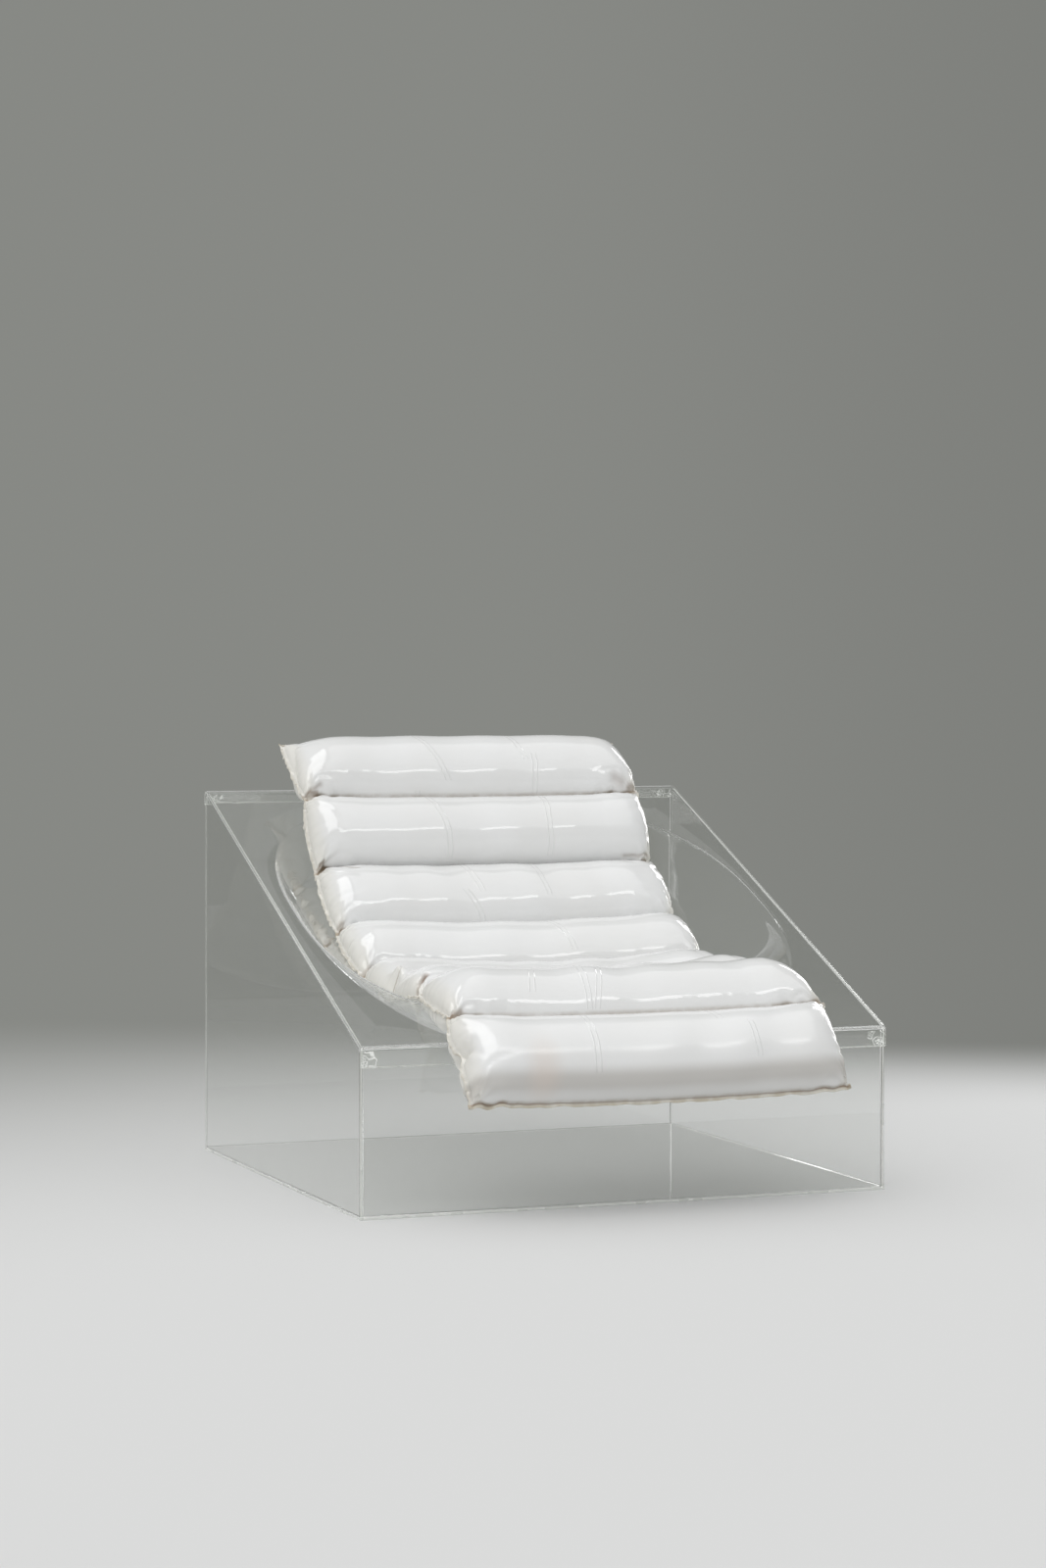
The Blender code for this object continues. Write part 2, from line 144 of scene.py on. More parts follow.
class CushionSettings(bpy.types.PropertyGroup):
    """The channelled cushion."""

    half_width: size("Half width", "Half the cushion's width, with the flange", 0.310)
    draw_in: size("Draw-in", "How far each cross seam draws the sides in", 0.007)
    skin: size("Vinyl", "Thickness of the vinyl", 0.0012)
    cover_gap: size("Cover gap", "Gap between the two covers at a seam", 0.0008)
    land: size("Stitch land", "Width of the flat that a cross seam presses down", 0.003)
    flange: size("Flange", "Width of the raw edge outside the side seam", 0.005)
    top_crown: size("Crown", "Height of a channel over its seams", 0.053)
    under_crown: size("Under crown", "Depth of a channel under its seams", 0.047)
    top_taper: size("Top end", "Length over which a channel's end rounds up", 0.082)
    under_taper: size("Under end", "Length over which a channel's end rounds under", 0.065)
    end_power: share("End power", "Power of the ends' round", 2.2)
    rest_gap: size("Rest gap", "Least gap to the seat", 0.0006)
    press_gap: size("Press gap", "Gap between channels that press together", 0.0005)
    head_crown: size("Head crown", "Height of the first channel over its seams", 0.054)
    arc_cells: whole("Arc cells", "Cells of cloth over each channel", 26)
    end_cells: whole("End cells", "Cells of cloth round each end", 12)
    middle_cells: whole("Middle cells", "Cells of cloth from each end to the middle", 30)
    ease: share("Ease", "Size of the cut vinyl as a share of the surface that it covers", 1.05)
    mass: share("Mass", "Mass of each point of the vinyl, in kilograms", 0.1)
    stretch: share("Stretch stiffness", "Resistance of the vinyl to stretching and squeezing", 20.0)
    shear: share("Shear stiffness", "Resistance of the vinyl to shearing", 2.0)
    bend: share("Bend stiffness", "Resistance of the vinyl to bending", 0.02)
    pressure: share("Pressure", "Push of the filling", 1500.0)
    frames: whole("Frames", "Frames of the simulation", 20)
    reach: size("Reach", "Most that the simulation moves a point", 0.012)
    gather: size("Gather", "Height of the gathers beside the side seams", 0.0026)
    gather_reach: size("Gather reach", "Length over which the gathers die away", 0.016)
    pinch: size("Pinch", "Depth of the pleats that fan out from the ends of the cross seams", 0.0065)
    pleats: whole("Pleats", "Pleats at each end of each cross seam", 3)
    swell: size("Swell", "Height of the long soft waves along a channel", 0.0020)
    head_slack: size("Head slack", "How far the first channel's back corners sink", 0.012)
    wander: size("Wander", "How far a cross seam wanders near its ends", 0.0060)
    frill: size("Frill", "Height of the waves in the raw edge", 0.0024)
    skew: size("Skew", "How far the front seam lies to the right of the others", 0.009)
    bulge: size("Bulge", "How far the front channel's left end bulges out near its top", 0.007)


class LightSettings(bpy.types.PropertyGroup):
    """The studio."""

    floor_colour: colour("Floor", "Colour of the pale floor", (0.700, 0.704, 0.700))
    wall_colour: colour("Backdrop", "Colour behind everything", (0.244, 0.250, 0.234))
    ambient: share("Ambient", "Strength of the soft light from all round", 0.63)
    lens: share("Lens", "Focal length in millimetres, for the 36 mm side", 78.5)


# Cross seams from the back to the front: place at the cushion's ends as shares of the box's depth, height
# above the seat's slope as shares of the bowl's depth, and how much lower the middle hangs as such shares
SEAM_PLACES = (0.975, 0.831, 0.754, 0.625, 0.472, 0.304, 0.135, -0.036, -0.131)
SEAM_RISES = (0.425, 0.245, -0.235, -0.490, -0.530, -0.362, 0.060, 0.265, -0.190)
SEAM_SAGS = (0.020, 0.020, 0.030, 0.045, 0.110, 0.125, 0.060, 0.030, 0.070)
# How strongly each channel's ends gather, and how deep the pleats are at the ends of each seam
GATHER_SHARES = (0.6, 0.6, 1.0, 1.0, 0.2, 0.1, 0.2, 0.8)
PLEAT_SHARES = (0.6, 1.2, 1.3, 1.0, 0.8, 0.1, 1.2, 1.0, 1.1)
# Creases and pinches of the top cover: x and distance from the front seam at both ends, then the width, the
# depth and how dark the dirt and painted shade in them are
CREASES = (
    (-0.303, 1.000, -0.280, 0.998, 0.0025, 0.000, 0.65),
    (-0.293, 1.000, -0.276, 1.006, 0.0035, 0.003, 0.35),
    (0.300, 1.000, 0.287, 1.000, 0.005, 0.000, 0.50),
    (0.276, 1.006, 0.262, 1.011, 0.008, 0.004, 0.30),
    (-0.303, 0.862, -0.292, 0.866, 0.0022, 0.003, 0.65),
    (-0.292, 0.866, -0.284, 0.850, 0.0022, 0.003, 0.60),
    (-0.284, 0.850, -0.272, 0.838, 0.0032, 0.004, 0.75),
    (-0.272, 0.838, -0.246, 0.826, 0.0020, 0.002, 0.65),
    (0.247, 0.867, 0.297, 0.866, 0.0020, 0.002, 0.35),
    (-0.303, 0.721, -0.292, 0.721, 0.003, 0.000, 0.40),
    (-0.303, 0.578, -0.280, 0.580, 0.003, 0.000, 0.40),
    (-0.283, 0.318, -0.293, 0.310, 0.0045, 0.006, 0.95),
    (-0.293, 0.310, -0.303, 0.298, 0.002, 0.002, 0.60),
    (-0.303, 0.146, -0.284, 0.149, 0.003, 0.000, 0.60),
    (0.303, 0.146, 0.290, 0.146, 0.003, 0.000, 0.40),
)
# Cross seams whose ends stand open: seam, side, height and reach
OPEN_ENDS = ((5, -1, 0.045, 0.075),)
# Corners of the cover that are folded out at a seam's end: seam, side and length
FOLDED_TIPS = ((7, 1, 0.013), (7, -1, 0.004), (1, 1, 0.005), (2, -1, 0.003))
# The warm stain on the front channel: the shift and the scale that carry its ellipsoid to a unit ball
STAIN_SHIFT = (4.9, 6.2, -3.6)
STAIN_SCALE = (26.0, 12.0, 16.0)
# Where the front channel's left end bulges and is notched, as shares of the way to its front seam
BULGE_SHARE = 0.2
NOTCH_SHARE = 0.48
# Lengths over which that bulge, that notch and the pleats behind the notch die away from the side seam
BULGE_REACH = 0.05
NOTCH_REACH = 0.012
NOTCH_PLEAT_REACH = 0.015
# Limits of the gathers' two wavelengths, and the slower waves that make them uneven
GATHER_WAVES = ((0.013, 0.016), (0.018, 0.024))
UNEVEN_WAVES = (0.045, 0.07)
# Pleats: the angle over which they fan out, their width at the corner, and the limits of their length, of their
# growth in width and of their bends
PLEAT_FAN = 1.3
PLEAT_WIDTH = 0.0016
PLEAT_LENGTHS = (0.018, 0.042)
PLEAT_GROWTHS = (0.05, 0.10)
PLEAT_BENDS = (0.012, 0.020)
# Limits of the wavelengths of the swells along a channel
SWELL_WAVES = (0.08, 0.22)
# Lengths over which a cross seam's wander, the front seam's hang and a folded corner die away: from the side
# seam, and from the seam itself
WANDER_FADE = (0.045, 0.010)
HANG_FADE = (0.06, 0.012)
TIP_FADE = (0.02, 0.012)
# Width of an open end across its seam, and the length over which it starts from the side seam
OPEN_WIDTH = 0.022
OPEN_START = 0.008
# Wavelengths of the wandering seams, of the front seam and of the raw edge
SEAM_WAVES = (0.024, 0.036, 0.052)
FRONT_SEAM_WAVES = (0.031, 0.047, 0.09)
FRONT_EDGE_WAVES = (0.09, 0.053, 0.034)
EDGE_WIDTH_WAVES = (0.05, 0.023, 0.014)
EDGE_HEIGHT_WAVES = (0.034, 0.019, 0.012)
# How far an old fold mark drifts to the side, half the gap between its two lines, and half their width
FOLD_DRIFT = 0.02
FOLD_GAP = 0.0042
FOLD_WIDTH = 0.0016
# Old fold marks across the channels, with distances from the front seam: x at the near end, how x changes
# on the way back, the near end and the far end
FOLD_MARKS = (
    (-0.045, -0.50, 1.010, 1.100),
    (-0.067, -0.23, 0.870, 1.000),
    (-0.042, -0.20, 0.760, 0.860),
    (-0.045, -0.60, 0.722, 0.765),
    (0.100, -0.35, 1.040, 1.130),
    (0.112, 0.02, 0.870, 1.050),
    (0.075, -0.15, 0.750, 0.860),
    (0.075, -0.35, 0.600, 0.700),
    (-0.078, 0.02, 0.150, 0.240),
    (-0.065, 0.30, 0.150, 0.250),
    (-0.165, 0.30, 0.170, 0.250),
    (-0.103, -0.03, 0.030, 0.130),
    (0.110, -0.20, 0.100, 0.140),
    (0.160, -0.15, 0.040, 0.090),
)


class SeatForm:
    """The seat's top surface, from the sizes in the panel. It slopes at one angle, with the bowl below it."""

    def __init__(self, box, seat):
        self.box = box
        self.seat = seat
        self.front_face = base_low.y
        self.back_face = base_high.y
        self.half_box = base_high.x
        depth = self.back_face - self.front_face
        rise = box.back_height - box.front_height
        self.front_height = box.front_height
        self.slope = math.atan2(rise, depth)
        self.slant = math.hypot(depth, rise)
        self.half_width = self.half_box - seat.side_land
        self.half_length = (self.slant - seat.front_land - seat.back_land) / 2
        self.centre = seat.front_land + self.half_length
        reach = seat.lap_gap + box.sheet
        self.lip_faces = (self.front_face - reach, self.back_face + reach)
        self.lip_ends = (box.front_height - seat.front_lip, box.back_height - seat.back_lip)
        self.bend_y = (self.lip_faces[0] + seat.bend_radius, self.lip_faces[1] - seat.bend_radius)
        drop = seat.bend_radius / math.cos(self.slope)
        self.bend_z = tuple(self.height(y) - drop for y in self.bend_y)
        turn = seat.bend_radius * math.sin(self.slope)
        self.flat_start = (self.bend_y[0] - turn - self.front_face) / math.cos(self.slope)
        self.flat_end = (self.bend_y[1] - turn - self.front_face) / math.cos(self.slope)

    def height(self, y):
        """Height of the flat sheet's top at y."""
        return self.front_height + (y - self.front_face) * math.tan(self.slope)

    def profile(self, at):
        """Depth of the bowl at a share of the way out, 0 at its centre and 1 at its rim.

        The wall is depth * (1 - share^2)^power, and a cubic rounds it into the flat sheet.
        """
        seat = self.seat
        wall = seat.bowl_depth * np.clip(1 - at**2, 0, None) ** seat.wall_power
        low = seat.bowl_depth * (1 - seat.rim_inner**2) ** seat.wall_power
        fall = -2 * seat.rim_inner * seat.wall_power * low / (1 - seat.rim_inner**2)
        span = seat.rim_outer - seat.rim_inner
        t = np.clip((at - seat.rim_inner) / span, 0, 1)
        rim = (2 * t**3 - 3 * t**2 + 1) * low + (t**3 - 2 * t**2 + t) * span * fall
        return np.where(at > seat.rim_inner, rim, wall)

    def share(self, x, s):
        """Share of the way from the bowl's centre to its rim, a superellipse, at x and s up the slope."""
        power = self.seat.outline_power
        across = np.abs(x / self.half_width) ** power
        along = np.abs((s - self.centre) / self.half_length) ** power
        return (across + along) ** (1 / power)

    def point(self, x, s):
        """The slope's point at x and s, less the bowl's depth square to the slope."""
        depth = self.profile(self.share(x, s))
        y = self.front_face + s * math.cos(self.slope) + depth * math.sin(self.slope)
        z = self.front_height + s * math.sin(self.slope) - depth * math.cos(self.slope)
        return np.stack(np.broadcast_arrays(x, y, z), -1)

    def clearance(self, points):
        """Distance of points above the seat, and the direction straight away from it.

        Over the slope it is the height above the bowl over the root of 1 + its gradient squared. Past the
        bends it is the distance to the bend's centre less its radius, and below them the distance to the lip.
        """
        x, y, z = np.moveaxis(points, -1, 0)
        cos, sin = math.cos(self.slope), math.sin(self.slope)
        s = (y - self.front_face) * cos + (z - self.front_height) * sin
        rise = (z - self.front_height) * cos - (y - self.front_face) * sin
        step = 1e-4
        dx = (self.profile(self.share(x + step, s)) - self.profile(self.share(x - step, s))) / (2 * step)
        ds = (self.profile(self.share(x, s + step)) - self.profile(self.share(x, s - step))) / (2 * step)
        root = np.sqrt(1 + dx**2 + ds**2)
        over = (rise + self.profile(self.share(x, s))) / root
        away = np.stack([dx, ds * cos - sin, ds * sin + cos], -1) / root[..., None]
        ends = ((0, s < self.flat_start, -1), (1, s > self.flat_end, 1))
        for end, past, sign in ends:
            dy, dz = y - self.bend_y[end], np.maximum(z - self.bend_z[end], 0)
            radial = np.hypot(dy, dz)
            beyond = past & ((sign * dy > 0) | (dz > 0))
            over = np.where(beyond, radial - self.seat.bend_radius, over)
            outward = np.stack([np.zeros_like(dy), dy, dz], -1) / np.maximum(radial, step)[..., None]
            away = np.where(beyond[..., None], outward, away)
        return over, away


class CushionForm:
    """The cushion's middle surface: seams that follow the bowl, each with its place, height and sag.

    Its arrays run over the channels, from the back to the front, then over rows, then over columns.
    """

    def __init__(self, seat_form, cushion):
        self.seat = seat_form
        self.cushion = cushion
        self.channels = len(SEAM_PLACES) - 1
        depth = seat_form.back_face - seat_form.front_face
        bowl = seat_form.seat.bowl_depth
        y = seat_form.front_face + np.array(SEAM_PLACES) * depth
        z = seat_form.height(y) + np.array(SEAM_RISES) * bowl
        self.places = np.stack([y, z], 1)
        self.sag = np.array(SEAM_SAGS) * bowl
        chords = np.diff(self.places, axis=0)
        self.pitch = np.linalg.norm(chords, axis=1)
        chords /= self.pitch[:, None]
        square = np.stack([chords[:, 1], -chords[:, 0]], 1)
        normals = np.vstack([square[:1], square[:-1] + square[1:], square[-1:]])
        self.normals = normals / np.linalg.norm(normals, axis=1)[:, None]

    def forward(self, seam):
        """The direction along the cushion at a seam, towards the front."""
        normal = self.normals[seam]
        return np.array([0, -normal[1], normal[0]])

    def beside(self, seam, along):
        """The channels behind and before a seam, each with its points' distances from the seam."""
        return (seam - 1, self.pitch[seam - 1] - along[seam - 1]), (seam, along[seam])

    def half_width(self, along):
        """Half the width inside the flanges, drawn in at the inner cross seams as 1 - sin(pi t)^0.7."""
        cushion = self.cushion
        t = np.clip(along / self.pitch[:, None], 0, 1)
        t[0] = np.maximum(t[0], 0.5)
        t[-1] = np.minimum(t[-1], 0.5)
        return cushion.half_width - cushion.flange - cushion.draw_in * (1 - np.sin(math.pi * t) ** 0.7)

    def arc(self, crown, turn):
        """Place along, height and length of the arc over each channel; turn runs from -1 to 1 at its seams.

        The arc's radius is (half^2 + crown^2) / (2 crown), and it stands on the lands pressed down beside
        the seams.
        """
        half = (self.pitch - self.cushion.land) / 2
        radius = ((half**2 + crown**2) / (2 * crown))[:, None]
        widest = np.arctan2(half[:, None], radius - crown[:, None])
        angle = turn * widest
        height = radius * np.cos(angle) - (radius - crown[:, None])
        return self.pitch[:, None] / 2 + radius * np.sin(angle), height, radius * widest * (turn + 1)

    def middle(self, along, x):
        """The middle surface's points, and the direction square to it.

        The seams are straight lines across at their ends' height, and the middle hangs lower than them by
        the sag times 1 - (x / half width)^2, but never into the seat.
        """
        cushion = self.cushion
        t = (along / self.pitch[:, None, None])[..., None]
        blend = np.clip(t, 0, 1)

        def between(values, at):
            back, front = values[:-1, None, None], values[1:, None, None]
            return (1 - at) * back + at * front

        line = between(self.places, t)
        normal = between(self.normals, blend)
        normal /= np.linalg.norm(normal, axis=-1)[..., None]
        lower = between(self.sag[:, None], blend)[..., 0] * (1 - (x / cushion.half_width) ** 2)
        start = np.concatenate([x[..., None], line], -1)
        up = np.concatenate([np.zeros_like(t), normal], -1)
        least = cushion.rest_gap + 2 * cushion.skin + cushion.cover_gap
        for _ in range(4):
            over, _ = self.seat.clearance(start - up * lower[..., None])
            lower = lower - np.clip(least - over, 0, None)
        tilt = np.gradient(lower, axis=-1) / np.gradient(x, axis=-1)
        square = up + tilt[..., None] * [1, 0, 0]
        square /= np.linalg.norm(square, axis=-1)[..., None]
        return start - up * lower[..., None], square

    def press(self, points):
        """Keeps each channel on its own side of the planes that halve the angles at its seams."""
        points = points.copy()
        for seam in range(1, self.channels):
            normal = self.normals[seam]
            forward = self.forward(seam)
            for channel, sign in ((seam - 1, 1), (seam, -1)):
                part = points[channel]
                hang = self.sag[seam] * (1 - (part[..., 0] / self.cushion.half_width) ** 2)
                line = self.places[seam] - normal * hang[..., None]
                ahead = sign * ((part[..., 1:] - line) @ forward[1:]) + self.cushion.press_gap / 2
                points[channel] = part - sign * forward * np.clip(ahead, 0, None)[..., None]
        return points


def grid_quads(index):
    """The quads over a grid of vertex numbers, counterclockwise where rows run on to the right of columns."""
    corners = (index[:-1, :-1], index[1:, :-1], index[1:, 1:], index[:-1, 1:])
    return np.stack(corners, -1).reshape(-1, 4)


def new_mesh(name, points, faces, more_faces=()):
    """A mesh object from an array of points, an array of quads or triangles, and a list of other faces."""
    mesh = bpy.data.meshes.new(name)
    faces = np.asarray(faces, np.int32)
    rest = [len(face) for face in more_faces]
    corners = np.concatenate([faces.ravel(), *[np.asarray(face) for face in more_faces]]).astype(np.int32)
    totals = np.concatenate([np.full(len(faces), faces.shape[1]), np.array(rest, int)])
    mesh.vertices.add(len(points))
    mesh.vertices.foreach_set("co", np.asarray(points, np.float32).ravel())
    mesh.loops.add(len(corners))
    mesh.loops.foreach_set("vertex_index", corners)
    mesh.polygons.add(len(totals))
    starts = np.concatenate([[0], np.cumsum(totals)[:-1]]).astype(np.int32)
    mesh.polygons.foreach_set("loop_start", starts)
    mesh.polygons.foreach_set("use_smooth", np.ones(len(totals), bool))
    mesh.update(calc_edges=True)
    obj = bpy.data.objects.new(name, mesh)
    bpy.context.scene.collection.objects.link(obj)
    return obj


def seat_piece(obj, body, finishes, nodes):
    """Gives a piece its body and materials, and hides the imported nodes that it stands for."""
    for material in finishes:
        obj.data.materials.append(material)
    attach(obj, body)
    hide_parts(*nodes)


class Nodes:
    """Short ways to add shader nodes to one material or world."""

    def __init__(self, tree):
        self.tree = tree

    def add(self, kind, inputs=None, **settings):
        """A new node with these inputs and settings."""
        node = self.tree.nodes.new(kind)
        for key, value in settings.items():
            setattr(node, key, value)
        for key, value in (inputs or {}).items():
            self.feed(node.inputs[key], value)
        return node

    def feed(self, socket, value):
        """Links a node or a socket to a socket, or sets the socket to a value."""
        if isinstance(value, bpy.types.NodeSocket):
            self.tree.links.new(value, socket)
        elif isinstance(value, bpy.types.Node):
            self.tree.links.new(value.outputs[0], socket)
        else:
            socket.default_value = value

    def math(self, operation, *values):
        """The result of one operation on numbers or sockets."""
        node = self.add("ShaderNodeMath", operation=operation)
        for socket, value in zip(node.inputs, values):
            self.feed(socket, value)
        return node.outputs[0]

    def ramp(self, value, low, high, to_low=0.0, to_high=1.0):
        """The value carried from low..high to to_low..to_high, smoothly, and held beyond them."""
        node = self.add("ShaderNodeMapRange", interpolation_type="SMOOTHSTEP")
        for name, number in (
            ("Value", value), ("From Min", low), ("From Max", high), ("To Min", to_low), ("To Max", to_high)
        ):
            self.feed(node.inputs[name], number)
        return node.outputs[0]

    def mix(self, factor, first, second):
        """A blend of two colours."""
        node = self.add("ShaderNodeMix", data_type="RGBA")
        self.feed(node.inputs["Factor"], factor)
        for socket, value in ((node.inputs[6], first), (node.inputs[7], second)):
            self.feed(socket, (*value, 1.0) if isinstance(value, tuple) else value)
        return node.outputs[2]

    def attribute(self, name):
        """A number that the mesh carries."""
        return self.add("ShaderNodeAttribute", attribute_name=name).outputs["Fac"]

    def noise(self, scale, detail=2.0, vector=None, roughness=0.5):
        """Soft noise from 0 to 1, in Object coordinates unless it gets a vector."""
        node = self.add("ShaderNodeTexNoise", {"Scale": scale, "Detail": detail, "Roughness": roughness})
        self.feed(node.inputs["Vector"], vector or self.place())
        return node.outputs["Fac"]

    def place(self):
        """Object coordinates."""
        return self.add("ShaderNodeTexCoord").outputs["Object"]

    def bump(self, height, strength, distance, normal=None):
        """A normal tilted by a height, over another normal where one is given."""
        node = self.add("ShaderNodeBump", {"Height": height, "Strength": strength, "Distance": distance})
        if normal:
            self.feed(node.inputs["Normal"], normal)
        return node.outputs[0]


def new_material(name):
    """A material with nodes, its Principled shader and its output."""
    material = bpy.data.materials.new(name)
    material.use_nodes = True
    nodes = Nodes(material.node_tree)
    shader = material.node_tree.nodes["Principled BSDF"]
    output = material.node_tree.nodes["Material Output"]
    return material, nodes, shader, output


def let_lamps_through(nodes, shader, output, shadow):
    """Lamps and soft light pass through the shader, dimmed to the shadow colour at each surface."""
    clear = nodes.add("ShaderNodeBsdfTransparent", {"Color": (*shadow, 1.0)})
    path = nodes.add("ShaderNodeLightPath")
    mixed = nodes.add("ShaderNodeMixShader")
    turned = nodes.math("GREATER_THAN", path.outputs["Ray Depth"], MOST_TURNS)
    mirrored = nodes.math("GREATER_THAN", path.outputs["Glossy Depth"], MOST_MIRRORINGS)
    passing = nodes.math("MAXIMUM", path.outputs["Is Shadow Ray"], path.outputs["Is Diffuse Ray"])
    passing = nodes.math("MAXIMUM", passing, nodes.math("MAXIMUM", turned, mirrored))
    nodes.feed(mixed.inputs[0], passing)
    nodes.feed(mixed.inputs[1], shader.outputs[0])
    nodes.feed(mixed.inputs[2], clear.outputs[0])
    nodes.feed(output.inputs["Surface"], mixed.outputs[0])


def clear_acrylic(name="cast_acrylic", dust=0.0):
    """Clear cast acrylic with faint wipe marks, and with a share of it covered by dust and fine scratches."""
    material, nodes, shader, output = new_material(name)
    shader.inputs["Base Color"].default_value = (0.972, 0.977, 0.971, 1.0)
    shader.inputs["IOR"].default_value = ACRYLIC_IOR
    stretch = nodes.add("ShaderNodeMapping", {"Vector": nodes.place(), "Scale": (3.0, 40.0, 9.0)})
    wipes = nodes.noise(6.0, 5.0, stretch.outputs[0], 0.6)
    least_dusty, dustiest = 1 - 0.8 * dust, 1 - 1.2 * dust
    nodes.feed(shader.inputs["Transmission Weight"], nodes.ramp(wipes, 0.2, 0.8, least_dusty, dustiest))
    nodes.feed(shader.inputs["Roughness"], nodes.ramp(wipes, 0.5, 0.8, 0.0, 0.035))
    let_lamps_through(nodes, shader, output, (0.984, 0.986, 0.983))
    return material


def pale_edge():
    """The sheets' sawn and scraped edges, which scatter the light that the sheet gathers."""
    material, nodes, shader, output = new_material("scraped_edge")
    marks = nodes.noise(14.0, 2.0)
    nodes.feed(shader.inputs["Base Color"], nodes.mix(marks, (0.69, 0.71, 0.67), (0.75, 0.76, 0.73)))
    nodes.feed(shader.inputs["Roughness"], nodes.ramp(marks, 0.3, 0.7, 0.25, 0.35))
    shader.inputs["IOR"].default_value = ACRYLIC_IOR
    shader.inputs["Transmission Weight"].default_value = 0.3
    let_lamps_through(nodes, shader, output, (0.93, 0.935, 0.93))
    return material


def cement_material():
    """Clear cement with the fine pale lines of crazing and of bubbles' edges."""
    material, nodes, shader, output = new_material("set_cement")
    place = nodes.place()
    blobs = nodes.noise(48.0, 1.0, place)
    rims = nodes.ramp(nodes.math("ABSOLUTE", nodes.math("SUBTRACT", blobs, 0.5)), 0.006, 0.022, 0.7, 0.0)
    cells = nodes.add("ShaderNodeTexVoronoi", {"Scale": 260.0, "Vector": place}, feature="DISTANCE_TO_EDGE")
    crazing = nodes.ramp(cells.outputs["Distance"], 0.02, 0.16, 1.0, 0.0)
    crazed = nodes.math("MULTIPLY", crazing, nodes.ramp(blobs, 0.54, 0.62))
    pale = nodes.math("MAXIMUM", rims, crazed)
    shader.inputs["Base Color"].default_value = (0.97, 0.98, 0.96, 1.0)
    shader.inputs["IOR"].default_value = ACRYLIC_IOR
    nodes.feed(shader.inputs["Transmission Weight"], nodes.math("SUBTRACT", 1.0, pale))
    nodes.feed(shader.inputs["Roughness"], nodes.ramp(blobs, 0.4, 0.7, 0.04, 0.2))
    let_lamps_through(nodes, shader, output, (0.97, 0.97, 0.965))
    return material


def vinyl_colour(nodes, place, cloud, front):
    """White in soft clouds, with cream edges, dirt and painted shade in the seams, a band of painted shade
    under the front channel, a stain and raw edges.
    """
    edge = nodes.attribute("edge")
    grime = nodes.noise(55.0, 4.0, place)
    white = nodes.mix(nodes.ramp(cloud, 0.3, 0.7), (0.800, 0.806, 0.804), (0.780, 0.783, 0.776))
    aged = nodes.mix(nodes.ramp(edge, 0.0, 0.020, 0.55, 0.0), white, (0.74, 0.715, 0.64))
    near_edge = nodes.ramp(edge, 0.03, 0.10, 1.0, 0.45)
    patchy = nodes.math("MULTIPLY", nodes.ramp(grime, 0.3, 0.6, 0.4, 1.0), near_edge)
    # Dirt near the seams' ends and painted shade along their valleys: each cross seam is darkened to brown,
    # less away from the side seams.
    in_seam = nodes.ramp(nodes.attribute("seam"), 0.0012, 0.0050, 1.0, 0.0)
    seam_dirt_and_shade = nodes.mix(nodes.math("MULTIPLY", in_seam, patchy), aged, (0.27, 0.21, 0.14))
    # Painted shade: a band about 6 to 42 mm from the front seam, where the front channel turns under, is
    # darkened to stand for its shadow.
    shade_band_start = nodes.ramp(front, 0.006, 0.018, 0.25, 0.7)
    shade_band_end = nodes.ramp(front, 0.024, 0.042, 1.0, 0.0)
    front_underside_shade = nodes.mix(nodes.math("MULTIPLY", shade_band_start, shade_band_end), seam_dirt_and_shade, (0.45, 0.43, 0.40))
    from_stain = nodes.add("ShaderNodeMapping", {"Vector": place})
    nodes.feed(from_stain.inputs["Location"], STAIN_SHIFT)
    nodes.feed(from_stain.inputs["Scale"], STAIN_SCALE)
    away = nodes.add("ShaderNodeVectorMath", {0: from_stain}, operation="LENGTH").outputs["Value"]
    stained = nodes.mix(nodes.ramp(away, 0.1, 1.1, 0.4, 0.0), front_underside_shade, (0.68, 0.56, 0.48))
    # The stitch lines at the end seams, and the dirt and painted shade in the creases, in dark brown.
    with_stitch_and_crease_shade = nodes.mix(nodes.attribute("stitch_and_crease_shade"), stained, (0.20, 0.13, 0.08))
    raw = nodes.mix(nodes.ramp(grime, 0.35, 0.65), (0.80, 0.77, 0.68), (0.66, 0.60, 0.48))
    return nodes.mix(nodes.attribute("raw"), with_stitch_and_crease_shade, raw)


def fold_lines(nodes, place, cloud, front):
    """Height of the old fold marks: each is a pair of lines, FOLD_GAP to both sides of a slanting middle."""
    across = nodes.add("ShaderNodeSeparateXYZ", {"Vector": place}).outputs["X"]
    across = nodes.math("MULTIPLY_ADD", cloud, FOLD_DRIFT, across)
    folds = 0.0
    for start, slant, near, far in FOLD_MARKS:
        line = nodes.math("MULTIPLY_ADD", front, -slant, across)
        middle = start - slant * near + FOLD_DRIFT / 2
        offset = nodes.math("ABSOLUTE", nodes.math("SUBTRACT", line, middle))
        pair = nodes.math("ABSOLUTE", nodes.math("SUBTRACT", offset, FOLD_GAP))
        inside = nodes.math("COMPARE", front, (near + far) / 2, (far - near) / 2)
        mark = nodes.math("MULTIPLY", nodes.ramp(pair, 0.0, FOLD_WIDTH, 1.0, 0.0), inside)
        folds = nodes.math("ADD", folds, mark)
    return folds


